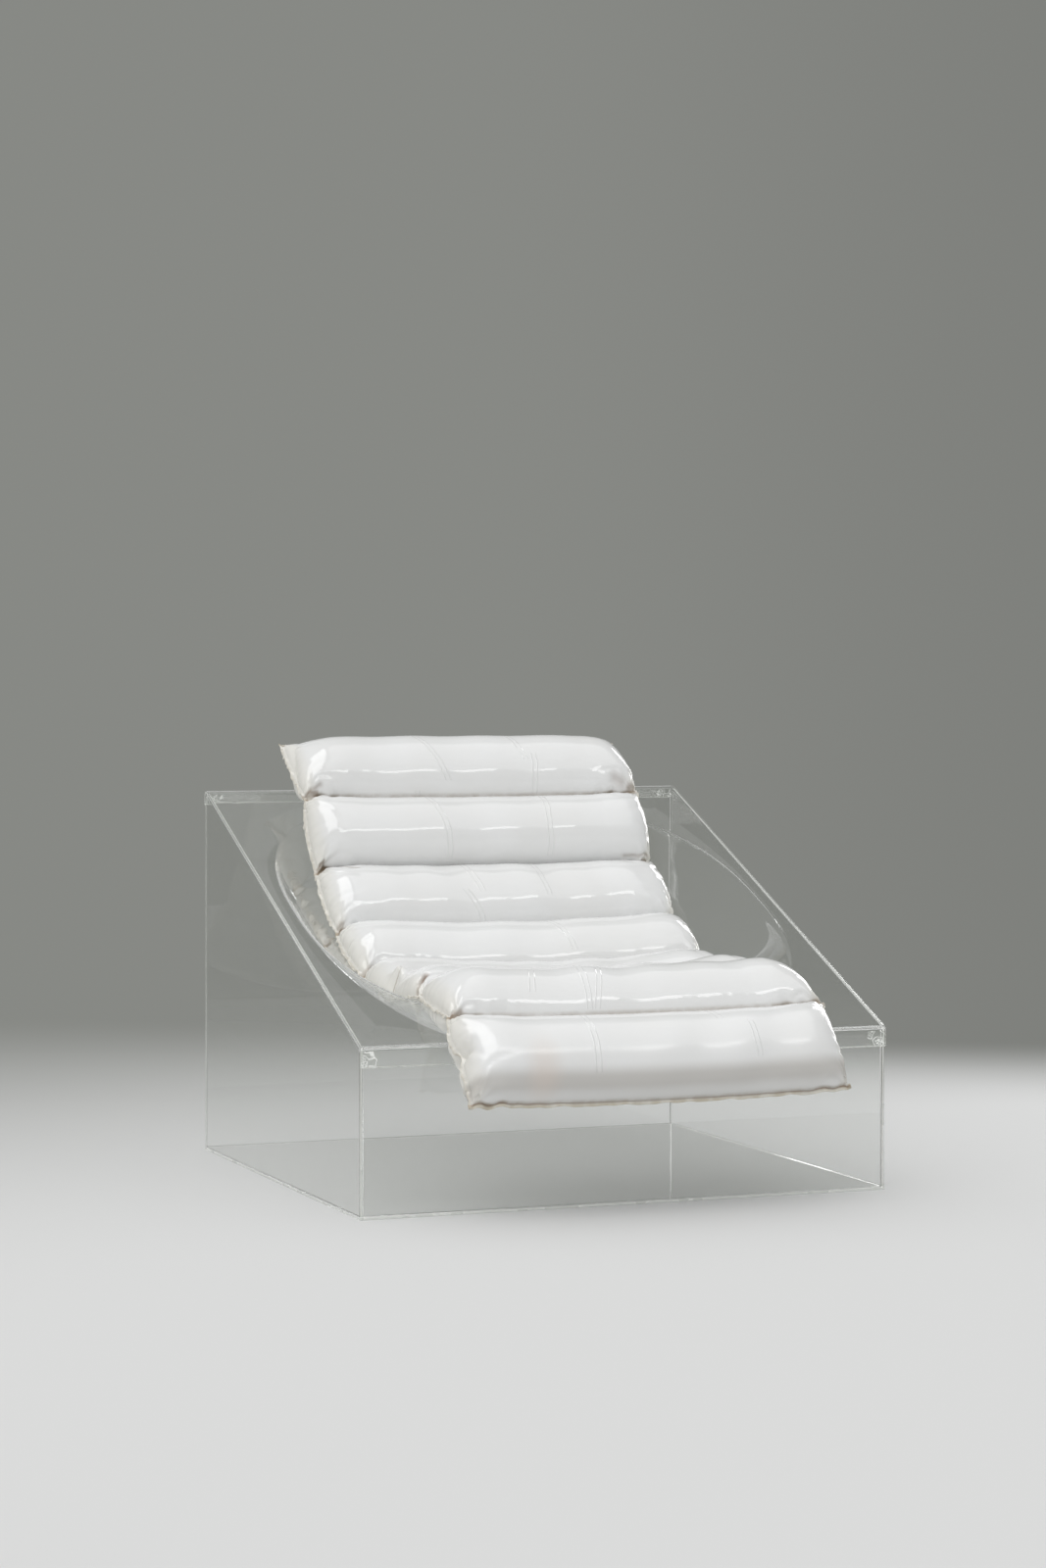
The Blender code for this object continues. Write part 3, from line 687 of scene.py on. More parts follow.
def vinyl_material():
    """Patent white vinyl: glossy, but duller on the front channel, with its grain and its fold marks."""
    material, nodes, shader, _ = new_material("patent_vinyl")
    place = nodes.place()
    front = nodes.attribute("front")
    cloud = nodes.noise(7.0, 3.0, place)
    nodes.feed(shader.inputs["Base Color"], vinyl_colour(nodes, place, cloud, front))
    uneven = nodes.ramp(nodes.noise(30.0, 3.0, place), 0.3, 0.8, 0.012, 0.045)
    dull = nodes.math("ADD", uneven, nodes.ramp(front, 0.09, 0.125, 0.20, 0.0))
    nodes.feed(shader.inputs["Roughness"], dull)
    shader.inputs["Specular IOR Level"].default_value = 0.55
    fine = nodes.bump(nodes.noise(420.0, 2.0, place), 0.08, 0.0003)
    soft = nodes.bump(nodes.noise(34.0, 2.0, place), 0.16, 0.0012, fine)
    folded = nodes.bump(fold_lines(nodes, place, cloud, front), 0.8, 0.0007, soft)
    nodes.feed(shader.inputs["Normal"], folded)
    return material


def slab(name, outline, thickness, edge_round, steps, to_place):
    """A flat sheet with eased edges.

    Its sides are copies of the outline: each is drawn in by r (1 - cos a) and lies r (1 - sin a) below the
    face, as a runs from 90 degrees on the face to 0 on the edge. to_place turns (u, v, w) points into place.
    """
    outline = np.asarray(outline, float)
    before = outline - np.roll(outline, 1, 0)
    after = np.roll(outline, -1, 0) - outline
    before /= np.linalg.norm(before, axis=1)[:, None]
    after /= np.linalg.norm(after, axis=1)[:, None]
    out_before = np.stack([before[:, 1], -before[:, 0]], 1)
    out_after = np.stack([after[:, 1], -after[:, 0]], 1)
    bisector = out_before + out_after
    bisector /= (1 + (out_before * out_after).sum(1))[:, None]
    angles = np.linspace(math.pi / 2, 0, steps + 1)
    inset = edge_round * (1 - np.cos(angles))
    fall = edge_round * (1 - np.sin(angles))
    inset = np.concatenate([inset, inset[::-1]])
    level = np.concatenate([thickness / 2 - fall, fall[::-1] - thickness / 2])
    rings = outline[None] - bisector[None] * inset[:, None, None]
    points = np.concatenate([rings, np.broadcast_to(level[:, None, None], (*rings.shape[:2], 1))], -1)
    count = len(outline)
    index = np.arange(points.shape[0] * count).reshape(points.shape[0], count)
    index = np.hstack([index, index[:, :1]])
    caps = [np.arange(count), np.arange(count)[::-1] + (points.shape[0] - 1) * count]
    obj = new_mesh(name, to_place(points.reshape(-1, 3)), grid_quads(index), caps)
    obj.data.set_sharp_from_angle(angle=SHARP_ANGLE)
    around = [0] * (steps * count)
    obj.data.polygons.foreach_set("material_index", [*around, *[1] * count, *around, 0, 0])
    for cap in obj.data.polygons[-2:]:
        cap.use_smooth = False
    return obj


def rounded_outline(corners, radii, steps):
    """A closed outline whose corners are arcs of the given radii; a radius of zero leaves a corner sharp."""
    corners = np.asarray(corners, float)
    parts = []
    for here, last, after, radius in zip(corners, np.roll(corners, 1, 0), np.roll(corners, -1, 0), radii):
        if radius == 0:
            parts.append(here[None])
            continue
        back = (last - here) / np.linalg.norm(last - here)
        on = (after - here) / np.linalg.norm(after - here)
        half = math.acos(float(back @ on)) / 2
        middle = here + (back + on) / np.linalg.norm(back + on) * radius / math.sin(half)
        start = here + back * radius / math.tan(half) - middle
        end = here + on * radius / math.tan(half) - middle
        turn = math.atan2(start[0] * end[1] - start[1] * end[0], float(start @ end))
        angle = turn * np.linspace(0, 1, steps + 1)
        cos, sin = np.cos(angle), np.sin(angle)
        arc = np.stack([start[0] * cos - start[1] * sin, start[0] * sin + start[1] * cos], 1)
        parts.append(middle + arc)
    return np.concatenate(parts)


class CHAIR_OT_box(bpy.types.Operator):
    """Make the base and the four walls, each a sheet with polished edges"""

    bl_idname = "chair.box"
    bl_label = "Acrylic Box"

    def execute(self, context):
        box = context.scene.chair_box
        form = SeatForm(box, context.scene.chair_seat)
        middle = box.sheet / 2
        level = base_low.z + middle
        plate = [
            (base_low.x, base_low.y),
            (base_high.x, base_low.y),
            (base_high.x, base_high.y),
            (base_low.x, base_high.y),
        ]
        sheets = [("base_plate", "base_panel", plate, lambda p: p + [0, 0, level])]
        drop = (box.sheet + box.touch_gap) / math.cos(form.slope)
        corners = [
            (form.front_face, side_low.z),
            (form.back_face, side_low.z),
            (form.back_face, form.height(form.back_face) - drop),
            (form.front_face, form.height(form.front_face) - drop),
        ]
        wall = rounded_outline(corners, (0, 0, box.corner_radius, box.corner_radius), box.arc_steps)
        for name, node, sign in (("left_wall", "left_side_panel", -1), ("right_wall", "right_side_panel", 1)):
            x = sign * (base_high.x - middle)
            sheets.append((name, node, wall, lambda p, x=x: p[:, [2, 0, 1]] + [x, 0, 0]))
        for name, node, low, high in (
            ("front_wall", "front_panel", front_low, front_high),
            ("back_wall", "back_panel", back_low, back_high),
        ):
            face = [(low.x, low.z), (high.x, low.z), (high.x, high.z), (low.x, high.z)]
            y = (low.y + high.y) / 2
            sheets.append((name, node, face, lambda p, y=y: p[:, [0, 2, 1]] * [1, -1, 1] + [0, y, 0]))
        finishes = (clear_acrylic(), pale_edge())
        dusty = (clear_acrylic("dusty_acrylic", box.dust), finishes[1])
        for name, node, outline, to_place in sheets:
            obj = slab(name, outline, box.sheet, box.edge_round, box.edge_steps, to_place)
            seat_piece(obj, "chair", dusty if node == "base_panel" else finishes, [node])
        return {"FINISHED"}


def border_places(form):
    """Places (x, s) round the flat sheet's edge: along the front, up the right, back and down the left."""
    seat = form.seat
    across = np.linspace(-form.half_box, form.half_box, seat.cells_across + 1)
    along = np.linspace(form.flat_start, form.flat_end, seat.cells_along + 1)
    front = np.stack([across, np.full_like(across, form.flat_start)], 1)
    back = np.stack([across[::-1], np.full_like(across, form.flat_end)], 1)
    right = np.stack([np.full_like(along, form.half_box), along], 1)
    left = right[::-1] * [-1, 1]
    return np.concatenate([part[:-1] for part in (front, right, back, left)])


def lip_rows(form, end, x):
    """The points of the front lip (end 0) or the back one (end 1), at the places x across.

    Rows run round the bend, a circle's arc from the slope to upright, and then down to the lower edge.
    """
    seat = form.seat
    first = math.pi / 2 + form.slope
    last = (math.pi, 0.0)[end]
    angle = first + (last - first) * np.arange(1, seat.bend_steps + 1) / seat.bend_steps
    lower = (form.lip_ends[end] + 2 * form.box.edge_round, form.lip_ends[end])
    y = np.append(form.bend_y[end] + seat.bend_radius * np.cos(angle), [form.lip_faces[end]] * 2)
    z = np.append(form.bend_z[end] + seat.bend_radius * np.sin(angle), lower)
    return np.stack(np.broadcast_arrays(x, y[:, None], z[:, None]), -1)


class CHAIR_OT_seat(bpy.types.Operator):
    """Blow the seat: a bowl with a rounded rim in a sloping sheet, with a lip bent down at both ends"""

    bl_idname = "chair.seat"
    bl_label = "Blown Seat"

    def execute(self, context):
        box = context.scene.chair_box
        seat = context.scene.chair_seat
        form = SeatForm(box, seat)
        edge = border_places(form)
        centre = np.array([0, form.centre])
        spokes = (edge - centre) / form.share(edge[:, 0], edge[:, 1])[:, None]
        wall = np.sin(np.linspace(math.pi / 2, 0, seat.wall_rings + 1)[:-1]) * seat.rim_inner
        rim = np.linspace(seat.rim_outer, seat.rim_inner, seat.rim_rings + 1)[:-1]
        places = np.concatenate([edge, *(centre + spokes * at for at in (*rim, *wall)), centre[None]])
        points = [form.point(places[:, 0], places[:, 1])]
        around, hub, total = len(edge), len(places) - 1, len(places)
        index = np.arange(hub).reshape(-1, around)
        index = np.hstack([index, index[:, :1]])
        fans = [(index[-1, k], index[-1, k + 1], hub) for k in range(around)]
        quads = [grid_quads(index)[:, ::-1]]
        finish = [0] * len(quads[0])
        across = seat.cells_across
        for end, start in enumerate((0, across + seat.cells_along)):
            top = index[0, start : start + across + 1]
            rows = lip_rows(form, end, edge[top, 0])
            numbers = total + np.arange(rows[..., 0].size).reshape(rows.shape[:2])
            total += numbers.size
            points.append(rows.reshape(-1, 3))
            quads.append(grid_quads(np.vstack([top[None], numbers])))
            finish += [0] * ((len(rows) - 1) * across) + [1] * across
        obj = new_mesh("blown_seat", np.concatenate(points), np.concatenate(quads), fans)
        obj.data.polygons.foreach_set("material_index", finish + [0] * len(fans))
        shell = obj.modifiers.new("sheet", "SOLIDIFY")
        shell.thickness = box.sheet
        shell.offset = -1
        shell.use_even_offset = True
        shell.material_offset_rim = 1
        ease = obj.modifiers.new("polished edge", "BEVEL")
        ease.width = box.edge_round
        ease.segments = box.edge_steps
        ease.material = 0
        ease.harden_normals = True
        ease.limit_method = "ANGLE"
        ease.angle_limit = math.radians(50)
        obj.data.set_sharp_from_angle(angle=SHARP_ANGLE)
        finishes = (bpy.data.materials["cast_acrylic"], bpy.data.materials["scraped_edge"])
        seat_piece(obj, "chair", finishes, ["seat_moulding"])
        bpy.data.collections["blown sheet"].objects.link(obj)
        return {"FINISHED"}


def soft_least(a, b, width):
    """The lesser of two heights, rounded where they meet: less width / 4 times (1 - |a - b| / width)^2."""
    return np.minimum(a, b) - width / 4 * np.clip(1 - np.abs(a - b) / width, 0, None) ** 2


def end_round(q, crown, cushion):
    """Height of a channel's end: 1.25 crown (1 - (1 - q)^power)^(1/2), with q from 0 at the side seam."""
    return 1.25 * crown * np.sqrt(1 - (1 - np.clip(q, 0, 1)) ** cushion.end_power)


def waves(at, lengths, random):
    """Sum of sines of these wavelengths, each with its own random phase, over the root of their number."""
    phases = random.uniform(0, 2 * math.pi, len(lengths))
    total = sum(np.sin(2 * math.pi * at / length + phase) for length, phase in zip(lengths, phases))
    return total / math.sqrt(len(lengths))


def gathers(edge, along, cushion, random):
    """Height of the small puffs beside a side seam: gather * |sin| of two wavelengths, dying away inwards."""
    puffs = 0
    lengths = [random.uniform(*limits) for limits in GATHER_WAVES]
    for length in lengths:
        drift = random.uniform(-0.4, 0.4)
        puffs = puffs + np.abs(np.sin(math.pi * (along + drift * edge) / length + random.uniform(0, math.pi)))
    uneven = 0.7 + 0.4 * waves(along, UNEVEN_WAVES, random)
    return cushion.gather * (puffs - 1.2) * uneven * np.exp(-edge / cushion.gather_reach)


def pleats(edge, from_seam, cushion, random):
    """Depth of the pleats that fan out from the corner where a cross seam meets a side seam.

    A pleat runs out from the corner at its own angle. It is pinch * exp(-r / length) deep, r from the
    corner, and across it the depth falls as exp(-(offset / width)^2), the width growing with r.
    """
    r = np.hypot(edge, from_seam)
    turn = np.arctan2(from_seam, edge)
    depth = np.zeros_like(r)
    for k in range(cushion.pleats):
        angle = (k + random.uniform(0.2, 0.8)) * PLEAT_FAN / cushion.pleats
        length = random.uniform(*PLEAT_LENGTHS)
        width = PLEAT_WIDTH + random.uniform(*PLEAT_GROWTHS) * r
        bend = 0.25 * np.sin(r / random.uniform(*PLEAT_BENDS))
        offset = r * np.sin(turn - angle - bend)
        deep = cushion.pinch * random.uniform(0.5, 1.0) * np.exp(-r / length) * r / (r + 0.003)
        depth += deep * np.exp(-(offset / width) ** 2)
    return depth


def creased(form, x, along):
    """Depth of the creases and darkness of their dirt and painted shade: each falls off as exp(-(distance /
    width)^2) from its line.
    """
    front = (form.pitch[::-1].cumsum()[::-1])[:, None, None] - along
    depth = np.zeros_like(x)
    crease_dirt_and_shade = np.zeros_like(x)
    for start_x, start_front, end_x, end_front, width, deep, dirt_and_shade in CREASES:
        run_x, run_front = end_x - start_x, end_front - start_front
        t = ((x - start_x) * run_x + (front - start_front) * run_front) / (run_x**2 + run_front**2)
        t = np.clip(t, 0, 1)
        away = np.hypot(x - start_x - t * run_x, front - start_front - t * run_front)
        fall = np.exp(-((away / width) ** 2))
        depth = np.maximum(depth, deep * fall)
        crease_dirt_and_shade = np.maximum(crease_dirt_and_shade, dirt_and_shade * fall)
    return depth, crease_dirt_and_shade


class Cover:
    """One cover's outer surface, as arrays over channels, rows and columns.

    Each row runs from side seam to side seam, and each channel's rows from its back seam to its front seam.
    """

    def __init__(self, form, crown, taper, sign):
        cushion = form.cushion
        self.form = form
        self.sign = sign
        turn = np.linspace(-1, 1, cushion.arc_cells + 1)
        along, arc, length = form.arc(crown, turn)
        side = form.half_width(along)
        angle = np.linspace(0, math.pi / 2, cushion.end_cells + 1)
        ends = side[..., None] - taper * (1 - np.cos(angle))
        inner = np.linspace(1, 0, cushion.middle_cells + 1)[1:]
        right = np.concatenate([ends, (side - taper)[..., None] * inner], -1)
        self.x = np.concatenate([-right[..., :-1], right[..., ::-1]], -1)
        self.along = np.broadcast_to(along[..., None], self.x.shape)
        self.edge = side[..., None] - np.abs(self.x)
        top = crown[:, None, None]
        end = end_round(self.edge / taper, top, cushion)
        self.height = np.clip(soft_least(arc[..., None], end, 0.3 * top), 0, None)
        self.middle, self.up = form.middle(self.along, self.x)
        base = cushion.skin + cushion.cover_gap / 2
        self.points = self.settle(self.middle + sign * self.up * (base + self.height)[..., None])
        self.pattern = self.cut(length, arc)

    def cut(self, length, arc):
        """The flat piece of vinyl that the cover is cut from.

        It is as long as the arcs over the channels, one after the other, and as wide as the way over a
        channel's ridge from side seam to side seam.
        """
        ridge = self.points[:, self.points.shape[1] // 2]
        steps = np.linalg.norm(np.diff(ridge, axis=1), axis=-1).mean(0)
        across = np.concatenate([[0], np.cumsum(steps)])
        before = np.cumsum(length[:, -1] + self.form.cushion.land) - length[:, -1]
        along = np.broadcast_to((before[:, None] + length)[..., None], self.x.shape)
        across = np.broadcast_to(across - across[-1] / 2, self.x.shape)
        return np.stack([across, along, np.zeros_like(along)], -1)

    def settle(self, points):
        """Holds points above the middle surface, off the seat, and apart from the next channel's."""
        cushion = self.form.cushion
        base = cushion.skin + cushion.cover_gap / 2
        height = self.sign * ((points - self.middle) * self.up).sum(-1)
        points = points + self.sign * self.up * np.clip(base - height, 0, None)[..., None]
        points = self.form.press(points)
        over, away = self.form.seat.clearance(points)
        return points + away * np.clip(cushion.rest_gap - over, 0, None)[..., None]

    def fill(self):
        """Cloth simulation: the flat pattern, sewn down at its seams and blown out by the filling.

        The pattern is longer than the seams it is sewn to, so the vinyl gathers beside them. Each point moves
        at most the reach from where it starts.
        """
        cushion = self.form.cushion
        shape = self.points.shape
        count = self.points[..., 0].size
        index = np.arange(count).reshape(shape[0] * shape[1], shape[2])
        quads = grid_quads(index)
        obj = new_mesh("cloth", self.points.reshape(-1, 3), quads if self.sign > 0 else quads[:, ::-1])
        obj.shape_key_add(name="Basis")
        pattern = obj.shape_key_add(name="pattern")
        pattern.data.foreach_set("co", (self.pattern * cushion.ease).astype(np.float32).ravel())
        sewn = np.zeros(shape[:3], bool)
        sewn[:, [0, -1]] = True
        sewn[:, :, [0, -1]] = True
        group = obj.vertex_groups.new(name="sewn")
        group.add(np.flatnonzero(sewn).tolist(), 1.0, "REPLACE")
        cloth = obj.modifiers.new("cloth", "CLOTH")
        cloth.collision_settings.use_collision = False
        vinyl = cloth.settings
        vinyl.quality = 6
        vinyl.mass = cushion.mass
        vinyl.air_damping = 2.0
        vinyl.tension_stiffness = cushion.stretch
        vinyl.compression_stiffness = cushion.stretch
        vinyl.shear_stiffness = cushion.shear
        vinyl.bending_stiffness = cushion.bend
        vinyl.vertex_group_mass = "sewn"
        vinyl.rest_shape_key = pattern
        vinyl.use_pressure = True
        vinyl.uniform_pressure_force = cushion.pressure
        vinyl.effector_weights.gravity = 0
        cloth.point_cache.frame_start = 1
        cloth.point_cache.frame_end = cushion.frames
        scene = bpy.context.scene
        for step in range(1, cushion.frames + 1):
            scene.frame_set(step)
        graph = bpy.context.evaluated_depsgraph_get()
        moved = np.empty(count * 3, np.float32)
        obj.evaluated_get(graph).data.vertices.foreach_get("co", moved)
        bpy.data.objects.remove(obj)
        scene.frame_set(1)
        shift = moved.reshape(shape) - self.points
        far = np.linalg.norm(shift, axis=-1)[..., None]
        shift *= cushion.reach / np.maximum(far, cushion.reach)
        self.points = self.settle(self.points + shift)


def finer(values, axis, at):
    """Values at fractional places along one axis, by Catmull and Rom's cubic, straight on past both ends."""
    values = np.moveaxis(values, axis, 0)
    first, last = 2 * values[:1] - values[1:2], 2 * values[-1:] - values[-2:-1]
    padded = np.concatenate([first, values, last])
    low = np.clip(np.floor(at).astype(int), 0, len(values) - 2)
    t = (at - low).reshape(-1, *[1] * (values.ndim - 1))
    a, b, c, d = (padded[low + k] for k in range(4))
    cubic = b + t / 2 * (c - a + t * (2 * a - 5 * b + 4 * c - d + t * (3 * (b - c) + d - a)))
    return np.moveaxis(cubic, 0, axis)


def steps_of(cells, rim_cells, rim_steps, inner_steps):
    """Fractional places that split cells into steps, more of them in the cells next to both ends."""
    steps = np.full(cells, inner_steps)
    steps[:rim_cells] = rim_steps
    steps[-rim_cells:] = rim_steps
    return np.concatenate([*(k + np.arange(n) / n for k, n in enumerate(steps)), [cells]])


class CHAIR_OT_cushion(bpy.types.Operator):
    """Sew and fill the cushion: a top and a bottom cover, joined at the edge and along the cross seams"""

    bl_idname = "chair.cushion"
    bl_label = "Channelled Cushion"

    def execute(self, context):
        cushion = context.scene.chair_cushion
        form = CushionForm(SeatForm(context.scene.chair_box, context.scene.chair_seat), cushion)
        vinyl = vinyl_material()
        fillings = [f"filling_{k + 1}" for k in range(form.channels)]
        crowns = np.full(form.channels, cushion.top_crown)
        crowns[0] = cushion.head_crown
        bellies = np.full(form.channels, cushion.under_crown)
        for name, crown, taper, sign, nodes in (
            ("top_cover", crowns, cushion.top_taper, 1, ["cushion_cover_top", *fillings]),
            ("bottom_cover", bellies, cushion.under_taper, -1, ["cushion_cover_bottom"]),
        ):
            cover = Cover(form, crown, taper, sign)
            cover.fill()
            obj = self.sew(name, cover)
            seat_piece(obj, "cushion", [vinyl], nodes)
            bpy.data.collections["vinyl covers"].objects.link(obj)
        return {"FINISHED"}

    def sew(self, name, cover):
        """The cover's mesh: its channels made finer and wrinkled, with the raw edge outside its seams."""
        form, cushion = cover.form, cover.form.cushion
        rows = steps_of(cushion.arc_cells, rim_cells=3, rim_steps=4, inner_steps=2)
        columns = steps_of(cover.x.shape[2] - 1, rim_cells=8, rim_steps=4, inner_steps=2)
        points, middle, up, rest = [finer(finer(part, 1, rows), 2, columns) for part in (
            cover.points, cover.middle, cover.up, np.stack([cover.edge, cover.along, cover.x], -1)
        )]
        edge, along, x = np.moveaxis(rest, -1, 0)
        points = self.wrinkle(cover, points, middle, up, edge, along, x)
        seam = np.minimum(along, form.pitch[:, None, None] - along)
        points = points.reshape(-1, *points.shape[2:])
        edge, seam = edge.reshape(points.shape[:2]), seam.reshape(points.shape[:2])
        # The creases' darkness, which is dirt and painted shade, goes on the top cover only.
        crease_dirt_and_shade = creased(form, x, along)[1].reshape(points.shape[:2]) * (cover.sign > 0)
        along = (along + (np.cumsum(form.pitch) - form.pitch)[:, None, None]).reshape(points.shape[:2])
        points = self.add_raw_edge(form, points, along)
        pad = ((1, 1), (1, 1))
        edge = np.pad(edge, pad, mode="edge")
        # The stitch lines along the back and front seams, darker near the sides; the creases' dirt and painted
        # shade join them in one attribute.
        stitch_and_crease_shade = np.zeros_like(edge)
        stitch_and_crease_shade[[1, -2]] = 0.85 - 0.35 * np.clip(edge[[1, -2]] / 0.30, 0, 1)
        raw = np.pad(np.zeros_like(crease_dirt_and_shade), ((1, 1), (0, 0)), constant_values=1.0)
        to_front = form.pitch.sum() - np.pad(along[:, :1], ((1, 1), (0, 0)), mode="edge")
        attributes = {
            "edge": edge,
            "seam": np.pad(seam, pad, mode="edge"),
            "raw": np.pad(raw, ((0, 0), (1, 1)), constant_values=0.5),
            "stitch_and_crease_shade": np.maximum(stitch_and_crease_shade, np.pad(crease_dirt_and_shade, pad, mode="edge")),
            "front": np.broadcast_to(to_front, edge.shape),
        }
        index = np.arange(edge.size).reshape(edge.shape)
        quads = grid_quads(index)
        obj = new_mesh(name, points.reshape(-1, 3), quads if cover.sign > 0 else quads[:, ::-1])
        for key, values in attributes.items():
            attribute = obj.data.attributes.new(key, "FLOAT", "POINT")
            attribute.data.foreach_set("value", values.astype(np.float32).ravel())
        shell = obj.modifiers.new("vinyl", "SOLIDIFY")
        shell.thickness = cushion.skin
        shell.offset = -1
        return obj

    def add_raw_edge(self, form, points, along):
        """Puts the raw edge outside the seams: a row at both ends and a column at both sides, all waving."""
        cushion = form.cushion
        random = np.random.default_rng(31)
        back = points[:1] - form.forward(0) * cushion.flange
        front = points[-1:] + form.forward(-1) * cushion.flange
        front = front + waves(front[..., :1], FRONT_EDGE_WAVES, random) * cushion.frill * [0, -0.2, 0.4]
        points = np.concatenate([back, points, front])
        along = np.pad(along, ((1, 1), (0, 0)), mode="edge")
        sides = []
        for column, sign in ((0, -1), (-1, 1)):
            at = along[:, column, None]
            out = cushion.flange + 0.4 * cushion.frill * waves(at, EDGE_WIDTH_WAVES, random)
            rise = cushion.frill * waves(at, EDGE_HEIGHT_WAVES, random)
            sides.append(points[:, column, None] + np.stack([sign * out, -0.35 * rise, 0.85 * rise], -1))
        return np.concatenate([sides[0], points, sides[1]], 1)

    def wrinkle(self, cover, points, middle, up, edge, along, x):
        """Moves points along the surface's normal by puckers and creases, then moves the seams and the ends.

        A move inwards is at most 0.4 of the height over the middle surface, and the seat stays clear.
        """
        form, cushion = cover.form, cover.form.cushion
        normal = cover.sign * np.cross(np.gradient(points, axis=2), -np.gradient(points, axis=1))
        normal /= np.maximum(np.linalg.norm(normal, axis=-1), 1e-9)[..., None]
        move = self.puckers(cover, edge, along, x)
        if cover.sign > 0:
            move -= creased(form, x, along)[0]
        behind = np.clip(1.2 - along[0] / form.pitch[0] * 1.6, 0, 1)
        move[0] -= cushion.head_slack * np.exp(-((edge[0] / 0.07) ** 2)) * behind
        height = cover.sign * ((points - middle) * up).sum(-1)
        move = np.maximum(move, -0.4 * np.clip(height, 0, None))
        points = points + normal * move[..., None]
        self.move_seams(form, points, edge, along, x)
        if cover.sign > 0:
            self.open_up(form, points, up, edge, along, x)
        self.move_ends(form, points, edge, along, x)
        over, away = form.seat.clearance(points)
        return points + away * np.clip(cushion.rest_gap - over, 0, None)[..., None]

    def puckers(self, cover, edge, along, x):
        """Height of the gathers, the pleats at the seams' ends and the swells, channel after channel."""
        form, cushion = cover.form, cover.form.cushion
        random = np.random.default_rng(8 if cover.sign > 0 else 9)
        move = np.zeros_like(edge)
        for channel in range(form.channels):
            near, way, across = edge[channel], along[channel], x[channel]
            rest = form.pitch[channel] - way
            ridge = np.sin(math.pi * np.clip(way / form.pitch[channel], 0, 1))
            for side in (-1, 1):
                here = np.where(side * across > 0, 1.0, 0.0)
                strength = random.uniform(0.55, 1.0) * GATHER_SHARES[channel]
                seam_fade = np.clip(np.minimum(way, rest) / 0.008, 0, 1)
                move[channel] += here * strength * seam_fade * gathers(near, way, cushion, random)
                for from_seam, deep in ((way, PLEAT_SHARES[channel]), (rest, PLEAT_SHARES[channel + 1])):
                    move[channel] -= here * deep * pleats(near, from_seam, cushion, random)
            if channel == form.channels - 1:
                from_notch = np.abs(way - NOTCH_SHARE * form.pitch[channel])
                fade = 1.2 * np.exp(-near / NOTCH_PLEAT_REACH) * (across < 0)
                move[channel] -= fade * pleats(near, from_notch, cushion, random)
            inner = np.clip(near / 0.05, 0, 1)
            skewed = across + random.uniform(-0.5, 0.5) * way
            long = waves(skewed, random.uniform(*SWELL_WAVES, 3), random)
            move[channel] += cushion.swell * long * inner * ridge * random.uniform(0.5, 1.0)
        return move

    def move_seams(self, form, points, edge, along, x):
        """Lets the cross seams wander near their ends, and the front seam hang in waves."""
        cushion = form.cushion
        phases = np.random.default_rng(17)
        for seam in range(1, form.channels):
            phase = phases.integers(1 << 30)
            for channel, off in form.beside(seam, along):
                shape = waves(x[channel], SEAM_WAVES, np.random.default_rng(phase))
                fade = np.exp(-edge[channel] / WANDER_FADE[0]) * np.exp(-np.clip(off, 0, None) / WANDER_FADE[1])
                points[channel] += (cushion.wander * shape * fade)[..., None] * form.forward(seam)
        hang = waves(x[-1], FRONT_SEAM_WAVES, np.random.default_rng(23))
        off = np.clip(form.pitch[-1] - along[-1], 0, None)
        fade = np.exp(-edge[-1] / HANG_FADE[0]) * np.exp(-off / HANG_FADE[1])
        points[-1] += (cushion.wander * hang * fade)[..., None] * np.array([0, *form.normals[-1]])

    def open_up(self, form, points, up, edge, along, x):
        """Lifts the top cover where a seam's end stands open.

        The lift is height * exp(-(edge / reach)^2 - (distance from the seam / OPEN_WIDTH)^2).
        """
        for seam, side, height, reach in OPEN_ENDS:
            for channel, off in form.beside(seam, along):
                lift = height * np.exp(-((edge[channel] / reach) ** 2) - (off / OPEN_WIDTH) ** 2)
                lift *= np.clip(edge[channel] / OPEN_START, 0, 1) * (side * x[channel] > 0)
                points[channel] += up[channel] * lift[..., None]

    def move_ends(self, form, points, edge, along, x):
        """Folds corners out at the seams' ends, skews the front channel, and bulges and notches it."""
        cushion = form.cushion
        for seam, side, tip in FOLDED_TIPS:
            for channel, off in form.beside(seam, along):
                out = tip * np.exp(-edge[channel] / TIP_FADE[0] - (off / TIP_FADE[1]) ** 2)
                points[channel, ..., 0] += side * out * (side * x[channel] > 0)
        t = np.clip(along[-1] / form.pitch[-1], 0, 1)
        bulge = np.exp(-(((t - BULGE_SHARE) / 0.16) ** 2) - edge[-1] / BULGE_REACH)
        notch = np.exp(-(((t - NOTCH_SHARE) / 0.05) ** 2) - edge[-1] / NOTCH_REACH)
        points[-1, ..., 0] += cushion.skew * t * t * (3 - 2 * t)
        points[-1, ..., 0] += cushion.bulge * (notch - bulge) * (x[-1] < 0)


class CHAIR_OT_cement(bpy.types.Operator):
    """Finish the four spots of cement between the lips and the walls"""

    bl_idname = "chair.cement"
    bl_label = "Cement Spots"

    def execute(self, context):
        cement = cement_material()
        for end in ("front", "back"):
            for side in ("left", "right"):
                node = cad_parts[f"cement_spot_{end}_{side}"]
                node.data.materials.clear()
                node.data.materials.append(cement)
        return {"FINISHED"}


def seen_directly(nodes):
    """1 where the camera sees a surface directly, mirrored or through acrylic, and 0 where it only lights."""
    path = nodes.add("ShaderNodeLightPath").outputs
    return nodes.math("SUBTRACT", 1.0, nodes.math("MINIMUM", path["Diffuse Depth"], 1.0))


